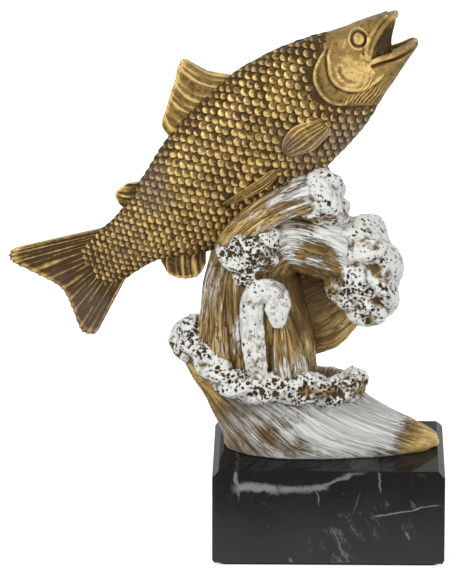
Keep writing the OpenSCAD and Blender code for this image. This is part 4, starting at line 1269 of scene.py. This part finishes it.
def collar_mesh(rings, sides):
    """Splash collar and foot round the stem, its ribs turning on the way up."""
    wave = bpy.context.scene.trophy_wave
    share = np.linspace(0, 1, rings)
    row = row_at(COLLAR_SHARES, share)
    start = round_turns(sides)[None, :]
    turn = start - COLLAR_TWIST * share[:, None]
    cosine, sine = np.cos(turn), np.sin(turn)
    rib = 1 + COLLAR_RIB_SHARE * np.cos(COLLAR_RIBS * start)
    reach_x = np.where(cosine > 0, row[:, 2:3], row[:, 1:2]) * wave.width * rib
    reach_y = np.where(sine > 0, row[:, 4:5], row[:, 3:4]) * wave.depth * rib
    leftward = np.maximum(-cosine, 0)
    found = np.stack([
        COLLAR_CENTRE_SHARES[0] * wave.width + reach_x * cosine,
        COLLAR_CENTRE_SHARES[1] * wave.depth + reach_y * sine,
        plinth_high.z + row[:, :1] * (RIM_SHARE + SPUR_SHARE * leftward ** 2) * wave.height,
    ], -1)
    mesh = skin("collar", found)
    angle = np.broadcast_to(start, turn.shape)
    radius = 0.3 * wave.width
    climb = share[:, None] * RIM_SHARE * wave.height * 1.6
    flow = np.stack([np.broadcast_to(climb, angle.shape), radius * np.cos(angle), radius * np.sin(angle)], -1)
    paints = with_caps(np.broadcast_to(row[:, None, 5:8], (*angle.shape, 3))).copy()
    x, z = coords(mesh)[:, 0] / wave.width, (coords(mesh)[:, 2] - plinth_high.z) / wave.height
    toe = smooth_step(0.2, 0.4, x) * smooth_step(0.14, 0.04, z)
    left = smooth_step(-0.2, -0.3, x) * smooth_step(0.2, 0.1, z)
    patch = ridge_at(x, 0.07, 0.14) * ridge_at(z, 0.1, 0.06)
    stain = ridge_at(x, -0.26, 0.05) * ridge_at(z, 0.08, 0.05)
    stain += ridge_at(x, -0.12, 0.05) * ridge_at(z, 0.04, 0.03)
    sheet = smooth_step(-0.36, -0.43, x) * smooth_step(0.06, 0.14, z)
    paints[:, 0] += 1.1 * patch - 1.1 * toe - 0.2 * left - 0.4 * sheet - 0.22 * stain
    paints[:, 1] += 1.5 * toe + 0.4 * sheet
    return paint_form(mesh, with_caps(flow), paints)


def foam_form(mesh, froth):
    """Keeps the paints of a body that is foam all over; more froth means more pits."""
    points = coords(mesh)
    return paint_form(mesh, points, np.tile((1, 0.1, froth), (len(points), 1)))


def foam_roll(rows, side, stations, froth):
    """Roll of foam along a line, swelling at each station."""
    return foam_form(skin("roll", stream_rings(rows, 110, 48, side, stations=stations)[0]), froth)


def lump_mesh(middle, half_sizes, froth):
    """Ellipsoid of foam with a swelling skin."""
    wave = bpy.context.scene.trophy_wave
    rings, sides = 30, 36
    tilt = np.radians(np.linspace(-88, 88, rings))
    turn = round_turns(sides)
    place = np.linspace(0, LUMP_STATIONS, rings)[:, None]
    swell = 1 + FOAM_SHARE * np.sin(FOAM_SWELLS * turn[None, :] + LUMP_TURN * place)
    ball = np.stack([
        np.cos(tilt)[:, None] * np.cos(turn) * swell, np.cos(tilt)[:, None] * np.sin(turn) * swell,
        np.broadcast_to(np.sin(tilt)[:, None], (rings, sides)),
    ], -1)
    return foam_form(skin("lump", wave_at(middle) + ball * np.array(half_sizes) * wave.depth), froth)


def foam_pits(tree, place, spacing, froth):
    """Pits of foam in three sizes: 0 between them and 1 inside. Serves geometry and paint alike."""
    spot = scaled(tree, place, maths(tree, "DIVIDE", 1.0, spacing))
    crowd = noise(tree, spot, 0.23, 1, 0.5)
    spot = vectors(tree, "ADD", spot, wander(tree, spot, 0.9, 1.0, 0.8))
    crowd = maths(tree, "MULTIPLY", maths(tree, "SUBTRACT", crowd, 0.5), 1.1)
    crowd = maths(tree, "MULTIPLY_ADD", maths(tree, "SUBTRACT", froth, 1), 0.6, crowd)
    pits = None
    for factor, least, most in PIT_KINDS:
        cell = add(tree, "ShaderNodeTexVoronoi", {"Vector": spot, "Scale": factor})
        chance = add(tree, "ShaderNodeSeparateXYZ", {0: cell.outputs["Color"]}).outputs["X"]
        radius = maths(tree, "MULTIPLY_ADD", chance, most - least, least)
        radius = maths(tree, "MINIMUM", maths(tree, "ADD", radius, crowd), PIT_MOST)
        edge = maths(tree, "SUBTRACT", radius, cell.outputs["Distance"])
        wall = add(tree, "ShaderNodeTexVoronoi", {"Vector": spot, "Scale": factor},
                   feature="DISTANCE_TO_EDGE")
        wall = maths(tree, "MULTIPLY_ADD", wall.outputs["Distance"], 2.2, -0.14)
        pit = map_range(tree, maths(tree, "MINIMUM", edge, wall), -0.04, 0.16)
        pits = pit if pits is None else maths(tree, "MAXIMUM", pits, pit)
    return pits


def foam_edge(tree, place, foam):
    """Share of foam with a ragged border, for geometry and paint alike."""
    return vary(tree, foam, 0.9, noise(tree, place, 420, 3, 0.6))


def wave_tree(material):
    """Carries the flow and the paints over from the loose forms, then raises streaks in the water, and
    swells and pits in the foam."""
    tree, given = geometry_tree("Wave surface", [
        ("Forms", "NodeSocketObject", None),
        ("Streak length", "NodeSocketFloat", 0.022), ("Streak width", "NodeSocketFloat", 0.0045),
        ("Relief", "NodeSocketFloat", 0.0012), ("Fine relief", "NodeSocketFloat", 0.0003),
        ("Swell size", "NodeSocketFloat", 0.0036), ("Swell height", "NodeSocketFloat", 0.0022),
        ("Pit spacing", "NodeSocketFloat", 0.0021), ("Pit depth", "NodeSocketFloat", 0.0009),
    ])
    forms = add(tree, "GeometryNodeObjectInfo", {"Object": given.outputs["Forms"]}).outputs["Geometry"]
    place = add(tree, "GeometryNodeInputPosition").outputs[0]
    kept = store(tree, given.outputs["Geometry"], "rest", place, "FLOAT_VECTOR")
    for name in ("flow", *PAINTS):
        kind = "FLOAT_VECTOR" if name == "flow" else "FLOAT"
        found = add(tree, "GeometryNodeSampleNearestSurface", {
            "Mesh": forms, "Value": named(tree, name, kind),
        }, data_type=kind)
        kept = store(tree, kept, name, found.outputs["Value"], kind)
    for name in PAINTS:
        eased = add(tree, "GeometryNodeBlurAttribute", {"Value": named(tree, name, "FLOAT"), "Iterations": 5})
        kept = store(tree, kept, name, eased.outputs[0])

    def streaks(width, length, detail):
        size = add(tree, "ShaderNodeCombineXYZ", {"X": length, "Y": width, "Z": width})
        found = noise(tree, vectors(tree, "DIVIDE", named(tree, "flow", "FLOAT_VECTOR"), size.outputs[0]),
                      1.0, detail, 0.55, 0.7)
        return map_range(tree, found, 0.3, 0.7, -1, 1)

    width, length = given.outputs["Streak width"], given.outputs["Streak length"]
    broad = streaks(width, length, 1.5)
    fine = streaks(maths(tree, "MULTIPLY", width, 0.25), maths(tree, "MULTIPLY", length, 0.7), 2.0)
    ridge = maths(tree, "ADD", maths(tree, "MULTIPLY", broad, 0.6), maths(tree, "MULTIPLY", fine, 0.4))
    kept = store(tree, kept, "ridge", ridge)
    water = maths(tree, "ADD", maths(tree, "MULTIPLY", broad, given.outputs["Relief"]),
                  maths(tree, "MULTIPLY", fine, given.outputs["Fine relief"]))
    cells = scaled(tree, place, maths(tree, "DIVIDE", 1.0, given.outputs["Swell size"]))
    swell = noise(tree, cells, 1.0, 3, 0.6, 0.5)
    swell = maths(tree, "MULTIPLY", maths(tree, "SUBTRACT", swell, 0.45), given.outputs["Swell height"])
    foam = named(tree, "foam", "FLOAT")
    pits = foam_pits(tree, place, given.outputs["Pit spacing"], foam)
    froth = maths(tree, "SUBTRACT", swell, maths(tree, "MULTIPLY", pits, given.outputs["Pit depth"]))
    share = map_range(tree, foam_edge(tree, place, foam), 0.35, 0.65)
    height = add(tree, "ShaderNodeSeparateXYZ", {0: place}).outputs["Z"]
    calm = map_range(tree, height, plinth_high.z, plinth_high.z + 0.012, 0.1, 1)
    water = maths(tree, "MULTIPLY", water, calm)
    water = maths(tree, "MULTIPLY", water, map_range(tree, named(tree, "gold", "FLOAT"), 0.1, 0.6, 0.2, 1))
    lift = maths(tree, "ADD", maths(tree, "MULTIPLY", froth, share),
                 maths(tree, "MULTIPLY", water, rest_of(tree, share)))
    offset = scaled(tree, add(tree, "GeometryNodeInputNormal").outputs[0], lift)
    moved = add(tree, "GeometryNodeSetPosition", {"Geometry": kept, "Offset": offset})
    close_tree(tree, moved.outputs[0], material)
    return tree


def wave_paint():
    """Bronze ridges over brown with white dragged along the flow, and white foam with dark pits."""
    wave = bpy.context.scene.trophy_wave
    made, tree, shader = new_material("painted_wave")
    flow, rest = (attribute(tree, name).outputs["Vector"] for name in ("flow", "rest"))
    ridge, white, gold, foam, brush = (
        attribute(tree, name).outputs["Fac"] for name in ("ridge", *PAINTS, "brush")
    )
    drag = noise(tree, vectors(tree, "MULTIPLY", flow, DRAG_SCALE), 1.0, 5, 0.7, 0.4)
    hair = noise(tree, vectors(tree, "MULTIPLY", flow, HAIR_SCALE), 1.0, 3, 0.65, 0.3)
    patchy = noise(tree, rest, 110, 3, 0.6)
    lines = noise(tree, vectors(tree, "MULTIPLY", flow, CREVICE_SCALE), 1.0, 4, 0.6, 0.5)
    lines = maths(tree, "SUBTRACT", lines, 0.5)
    crevice = map_range(tree, maths(tree, "ABSOLUTE", lines), 0, 0.04, 1, 0)
    thread = map_range(tree, maths(tree, "ABSOLUTE", maths(tree, "SUBTRACT", lines, 0.07)), 0, 0.03, 1, 0)
    level = plus(tree, maths(tree, "MULTIPLY", ridge, 0.08), 0.75, drag)
    level = vary(tree, plus(tree, level, 0.65, hair), 0.5, brush)
    shine = maths(tree, "MULTIPLY_ADD", gold, 0.35, maths(tree, "ADD", level, 0.09))
    shine = plus(tree, vary(tree, shine, 0.7, patchy), -0.45, crevice)
    water = blend_colour(tree, map_range(tree, shine, 0.7, 1.0), wave.brown, wave.bronze)
    water = blend_colour(tree, map_range(tree, shine, 0.98, 1.35), water, wave.gilt)
    cover = plus(tree, maths(tree, "ADD", level, white), 0.3, thread)
    cover = vary(tree, plus(tree, cover, -0.3, crevice), 1.1, patchy)
    water = blend_colour(tree, map_range(tree, cover, 1.02, 1.2, 0, 0.9), water, wave.grey)
    water = blend_colour(tree, map_range(tree, cover, 1.15, 1.4), water, wave.white)
    metal = map_range(tree, shine, 0.8, 1.2, 0.1, 0.6)
    metal = maths(tree, "MULTIPLY", metal, map_range(tree, cover, 1.0, 1.2, 1, 0))
    cloud = noise(tree, rest, 260, 5, 0.7)
    coat = plus(tree, maths(tree, "MULTIPLY", brush, 0.8), 0.55, white)
    coat = vary(tree, coat, 1.5, cloud)
    under = maths(tree, "MULTIPLY_ADD", cloud, 1.4, brush)
    under = blend_colour(tree, map_range(tree, under, 1.0, 1.5), wave.brown, wave.bronze)
    froth = blend_colour(tree, map_range(tree, coat, 0.62, 0.85), under, wave.grey)
    froth = blend_colour(tree, map_range(tree, coat, 0.75, 1.05), froth, wave.white)
    pits = foam_pits(tree, rest, wave.pit, foam)
    froth = blend_colour(tree, map_range(tree, pits, 0.05, 0.4, 0, 0.85), froth, toned(wave.bronze, 0.6))
    froth = blend_colour(tree, map_range(tree, pits, 0.3, 0.8), froth, wave.pit_floor)
    share = map_range(tree, foam_edge(tree, rest, foam), 0.45, 0.55)
    colour = blend_colour(tree, share, water, froth)
    metal = maths(tree, "MULTIPLY", metal, rest_of(tree, share))
    grain = maths(tree, "SUBTRACT", noise(tree, rest, 1500, 3, 0.6), pits)
    streaked = plus(tree, maths(tree, "ADD", drag, hair), -0.8, crevice)
    streaked = maths(tree, "MULTIPLY", streaked, rest_of(tree, share))
    height = plus(tree, streaked, share, grain)
    finish_with(tree, shader, colour, map_range(tree, cover, 0.9, 1.3, 0.42, 0.6), metal, height, 0.00025)
    shader.inputs["Specular IOR Level"].default_value = 0.25
    return made


class TROPHY_OT_wave(bpy.types.Operator):
    """Wave in two fused bodies: the stem with its curl, and the splash collar with its foam"""
    bl_idname = "trophy.wave"
    bl_label = "Wave"

    def execute(self, context):
        wave = context.scene.trophy_wave
        tree = wave_tree(wave_paint())
        upright, across = (0, 0, 1), (0, 1, 0)
        # Table, rings, points round, whether mirrored to the back, ribs and how high they stand
        streams = [
            (STEM_SHARES, 220, 144, False, 9, 0.02), (UPPER_SHARES, 110, 75, False, 5, 0.05),
            (UPPER_SHARES, 110, 75, True, 5, 0.05), (LEFT_SHARES, 80, 60, False, 4, 0.06),
            (LEFT_SHARES, 80, 60, True, 4, 0.06), (RIGHT_SHARES, 80, 60, False, 4, 0.07),
            (BARREL_SHARES, 60, 80, False, 0, 0), (FANG_SHARES, 90, 48, False, 0, 0),
        ]
        stem = [stream_mesh(rows, rings, sides, number, mirrored, ribs, rib_share)
                for number, (rows, rings, sides, mirrored, ribs, rib_share) in enumerate(streams)]
        stem.append(foam_roll(CURL_FOAM_SHARES, across, 9, 0.85))
        stem += [lump_mesh(*lump) for lump in CURL_LUMP_SHARES + LEFT_KNOB_SHARES + CREST_LUMP_SHARES]
        skirt = [collar_mesh(70, 360), foam_roll(FRONT_FOAM_SHARES, upright, 18, 1.15),
                 foam_roll(BACK_FOAM_SHARES, upright, 16, 1)]
        skirt += [lump_mesh(*lump) for lump in RIGHT_KNOB_SHARES + SPUR_LUMP_SHARES]
        for name, parts, share in (("wave_stem_and_curl", stem, 1), ("wave_collar_and_foot", skirt, 0.6)):
            forms = joined(name + "_forms", parts, ("flow", *PAINTS))
            body = bpy.data.objects.new(name + "_body", forms.data.copy())
            context.scene.collection.objects.link(body)
            body = remeshed(body, wave.voxel, 4, name + "_body")
            made = run_tree(body, tree, {
                "Forms": forms, "Streak width": wave.streak * (0.4 + 0.6 * share),
                "Relief": wave.relief * share, "Pit spacing": wave.pit, "Pit depth": wave.pit_depth,
            }, name)
            bpy.data.objects.remove(forms)
            brush_of(made.data, 10, 0.0004, 0.55)
            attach(made, "root")
            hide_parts("wave")
        return {"FINISHED"}


# Plinth, felt and fixings

def marble_paint():
    """Polished black marble with grey and white veins."""
    stone = bpy.context.scene.trophy_plinth
    made, tree, shader = new_material("black_marble")
    place = add(tree, "ShaderNodeTexCoord").outputs["Object"]
    spot = place
    for scale, reach in ((45.0, 0.006), (260.0, 0.0024)):
        spot = vectors(tree, "ADD", spot, wander(tree, place, scale, 4.0, reach))
    xyz = add(tree, "ShaderNodeSeparateXYZ", {0: spot})
    x, z = xyz.outputs["X"], xyz.outputs["Z"]
    smoke = noise(tree, spot, 60, 5, 0.65)
    broken = noise(tree, place, 330, 4, 0.7)
    leaning = add(tree, "ShaderNodeCombineXYZ", {
        "X": maths(tree, "MULTIPLY_ADD", z, 0.55, x), "Y": xyz.outputs["Y"],
        "Z": maths(tree, "MULTIPLY", z, 0.3),
    })
    wisps = map_range(tree, noise(tree, leaning.outputs[0], 420, 5, 0.7), 0.5, 0.68)
    wisps = maths(tree, "MULTIPLY", wisps, map_range(tree, broken, 0.36, 0.6, 0.3, 1))
    top = plinth_high.z

    def sheet(drop, slope, centre, reach, thick, strength):
        """Vein that crosses the block as a ragged sheet, some way below the top and between two ends."""
        line = maths(tree, "MULTIPLY_ADD", maths(tree, "SUBTRACT", x, centre), slope, top - drop)
        gap = maths(tree, "ABSOLUTE", maths(tree, "SUBTRACT", z, line))
        ragged = maths(tree, "DIVIDE", gap, maths(tree, "MULTIPLY_ADD", broken, 2.2 * thick, 0.1 * thick))
        core = map_range(tree, ragged, 0.2, 1, strength, 0)
        ends = maths(tree, "ABSOLUTE", maths(tree, "SUBTRACT", x, centre))
        return maths(tree, "MULTIPLY", core, map_range(tree, ends, reach * 0.6, reach, 1, 0))

    def cluster(drop, centre, wide, tall, strength):
        """Wisps of vein crowded round one place of the front."""
        across = maths(tree, "DIVIDE", maths(tree, "SUBTRACT", x, centre), wide)
        down = maths(tree, "DIVIDE", maths(tree, "SUBTRACT", z, top - drop), tall)
        gap = maths(tree, "ADD", maths(tree, "MULTIPLY", across, across), maths(tree, "MULTIPLY", down, down))
        gap = vary(tree, gap, 2.5, smoke)
        near = map_range(tree, xyz.outputs["Y"], plinth_low.y + 0.006, plinth_low.y + 0.02, strength, 0)
        near = maths(tree, "MULTIPLY", wisps, near)
        return maths(tree, "MULTIPLY", near, map_range(tree, gap, 0.1, 1, 1, 0))

    veins = [sheet(*vein) for vein in VEINS] + [cluster(*spot) for spot in WISPS]
    total = veins[0]
    for vein in veins[1:]:
        total = maths(tree, "MAXIMUM", total, vein)
    total = maths(tree, "MULTIPLY", total, map_range(tree, smoke, 0.3, 0.6, 0.45, 1.1))
    thread = noise(tree, place, 70, 6, 0.6, 0.8)
    thread = maths(tree, "ABSOLUTE", maths(tree, "SUBTRACT", thread, 0.5))
    thread = map_range(tree, thread, 0.0, 0.01, 1, 0)
    thread = maths(tree, "MULTIPLY", thread, map_range(tree, smoke, 0.56, 0.72))
    total = maths(tree, "MAXIMUM", total, maths(tree, "MULTIPLY", thread, 0.12))
    height = add(tree, "ShaderNodeSeparateXYZ", {0: place}).outputs["Z"]
    total = maths(tree, "MULTIPLY", total, map_range(tree, height, top - 0.0008, top - 0.0001, 1, 0.2))
    # Painted reflection of the pale floor: the front grows lighter towards the foot
    depth = vary(tree, height, 0.02, smoke)
    ground = blend_colour(tree, map_range(tree, depth, 0, top, 1, 0), stone.stone, stone.deep)
    colour = blend_colour(tree, total, ground, stone.vein)
    finish_with(tree, shader, colour, 0.06)
    # A low index keeps the top of the block dark under its white surroundings
    shader.inputs["IOR"].default_value = 1.1
    return made


def felt_paint():
    """Short felt with a matted grain."""
    made, tree, shader = new_material("dark_felt")
    place = add(tree, "ShaderNodeTexCoord").outputs["Object"]
    fibres = noise(tree, place, 1800, 5, 0.75)
    felt = bpy.context.scene.trophy_plinth.felt
    colour = blend_colour(tree, fibres, toned(felt, 0.6), toned(felt, 1.7))
    finish_with(tree, shader, colour, 0.95, 0.0, fibres, 0.0003)
    shader.inputs["Sheen Weight"].default_value = 0.4
    return made


def metal_paint(name, colour, rough):
    """Turned metal with faint tool marks round its axis."""
    made, tree, shader = new_material(name)
    place = add(tree, "ShaderNodeTexCoord").outputs["Object"]
    marks = noise(tree, vectors(tree, "MULTIPLY", place, (200, 200, 9000)), 1.0, 2, 0.5)
    shade = blend_colour(tree, marks, toned(colour, 0.8), colour)
    rough = map_range(tree, marks, 0.2, 0.8, rough - 0.08, rough + 0.08)
    finish_with(tree, shader, shade, rough, 1.0, marks, 0.00002)
    return made


def repaint(node, material):
    """Gives a carried-over piece its finish."""
    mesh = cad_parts[node].data
    mesh.materials.clear()
    mesh.materials.append(material)


class TROPHY_OT_plinth(bpy.types.Operator):
    """Marble and felt of the plinth"""
    bl_idname = "trophy.plinth"
    bl_label = "Plinth"

    def execute(self, context):
        repaint("plinth", marble_paint())
        repaint("felt_pad", felt_paint())
        return {"FINISHED"}


class TROPHY_OT_fixings(bpy.types.Operator):
    """Stud, nut, washer, insert and pins"""
    bl_idname = "trophy.fixings"
    bl_label = "Fixings"

    def execute(self, context):
        zinc = metal_paint("bright_zinc", (0.55, 0.56, 0.58), 0.32)
        brass = metal_paint("turned_brass", (0.68, 0.5, 0.2), 0.28)
        for node in ("anchor_stud", "nut", "washer", "front_dowel", "rear_dowel"):
            repaint(node, zinc)
        repaint("threaded_insert", brass)
        return {"FINISHED"}


# Stage

def background_ray(tree):
    """1 where the camera, a reflection or glass looks at the background, 0 where it lights the trophy."""
    path = add(tree, "ShaderNodeLightPath")
    mirrored = maths(tree, "MAXIMUM", path.outputs["Is Glossy Ray"], path.outputs["Is Transmission Ray"])
    return maths(tree, "MAXIMUM", path.outputs["Is Camera Ray"], mirrored)


def pale_floor():
    """Wide floor that looks white to the camera and keeps the trophy's soft shadow."""
    made, tree, shader = new_material("pale_floor")
    finish_with(tree, shader, (0.86, 0.86, 0.86), 0.9)
    seen = background_ray(tree)
    shader.inputs["Emission Color"].default_value = (1, 1, 1, 1)
    tree.links.new(maths(tree, "MULTIPLY", seen, 0.62), shader.inputs["Emission Strength"])
    corners = [(FLOOR_HALF * x, FLOOR_HALF * y, 0) for x, y in ((-1, -1), (1, -1), (1, 1), (-1, 1))]
    mesh = bpy.data.meshes.new("floor")
    mesh.from_pydata(corners, [], [(0, 1, 2, 3)])
    floor = new_object("floor", mesh)
    mesh.materials.append(made)


def soft_lamp(name, place, aim, size, power):
    """Lamp of a given width and height that points at the aim."""
    light = bpy.data.lights.new(name, "AREA")
    light.shape = "RECTANGLE"
    light.size, light.size_y = size
    light.energy = power
    lamp = bpy.data.objects.new(name, light)
    bpy.context.scene.collection.objects.link(lamp)
    lamp.location = place
    lamp.rotation_euler = (Vector(aim) - Vector(place)).to_track_quat("-Z", "Y").to_euler()


def studio_world():
    """White to the camera, and much weaker as a light."""
    stage = bpy.context.scene.trophy_stage
    world = bpy.data.worlds.new("studio")
    bpy.context.scene.world = world
    world.use_nodes = True
    tree = world.node_tree
    tree.nodes.clear()
    strength = map_range(tree, background_ray(tree), 0, 1, stage.bounce, 1)
    made = add(tree, "ShaderNodeBackground", {"Color": (1, 1, 1, 1), "Strength": strength})
    add(tree, "ShaderNodeOutputWorld", {"Surface": made.outputs[0]})


class TROPHY_OT_stage(bpy.types.Operator):
    """Camera, floor, lamps and background"""
    bl_idname = "trophy.stage"
    bl_label = "Stage"

    def execute(self, context):
        stage = context.scene.trophy_stage
        aim = Vector((stage.aim_x, 0, stage.aim_z))
        level = math.cos(stage.raised)
        back = Vector((
            math.sin(stage.turned) * level, -math.cos(stage.turned) * level, math.sin(stage.raised),
        ))
        lens = bpy.data.cameras.new("camera")
        camera = bpy.data.objects.new("camera", lens)
        context.scene.collection.objects.link(camera)
        camera.location = aim + back * stage.distance
        camera.rotation_euler = (-back).to_track_quat("-Z", "Y").to_euler()
        lens.sensor_fit = "VERTICAL"
        lens.lens = lens.sensor_height * stage.distance / stage.view_height
        lens.clip_end = 20
        context.scene.camera = camera
        pale_floor()
        studio_world()
        for name, place, size, share in LAMPS:
            soft_lamp(name, place, aim, size, share * stage.lamp_power)
        context.scene.view_settings.view_transform = "Standard"
        return {"FINISHED"}


class TROPHY_PT_panel(bpy.types.Panel):
    """Pieces of the trophy"""
    bl_label = "Fishing trophy"
    bl_idname = "TROPHY_PT_panel"
    bl_space_type = "VIEW_3D"
    bl_region_type = "UI"
    bl_category = "Trophy"

    def draw(self, context):
        for made in OPERATORS:
            self.layout.operator(made.bl_idname)
        for settings in SETTINGS:
            group = getattr(context.scene, settings)
            box = self.layout.box()
            for key in group.bl_rna.properties.keys():
                if key not in ("rna_type", "name"):
                    box.prop(group, key)


SETTINGS = {
    "trophy_plinth": PlinthSettings, "trophy_fish": FishSettings, "trophy_wave": WaveSettings,
    "trophy_stage": StageSettings,
}
OPERATORS = (
    TROPHY_OT_stage, TROPHY_OT_plinth, TROPHY_OT_fixings, TROPHY_OT_wave,
    TROPHY_OT_fish_trunk, TROPHY_OT_fish_head, TROPHY_OT_fish_scales, TROPHY_OT_fish_fins,
)


def register():
    for settings in SETTINGS.values():
        bpy.utils.register_class(settings)
    for made in (*OPERATORS, TROPHY_PT_panel):
        bpy.utils.register_class(made)
    for name, settings in SETTINGS.items():
        setattr(bpy.types.Scene, name, bpy.props.PointerProperty(type=settings))


def unregister():
    for name in SETTINGS:
        delattr(bpy.types.Scene, name)
    for made in (TROPHY_PT_panel, *reversed(OPERATORS)):
        bpy.utils.unregister_class(made)
    for settings in SETTINGS.values():
        bpy.utils.unregister_class(settings)


def main():
    register()
    bpy.ops.trophy.stage()
    bpy.ops.trophy.plinth()
    bpy.ops.trophy.fixings()
    bpy.ops.trophy.wave()
    bpy.ops.trophy.fish_trunk()
    bpy.ops.trophy.fish_head()
    bpy.ops.trophy.fish_scales()
    bpy.ops.trophy.fish_fins()


if __name__ == "__main__":
    main()
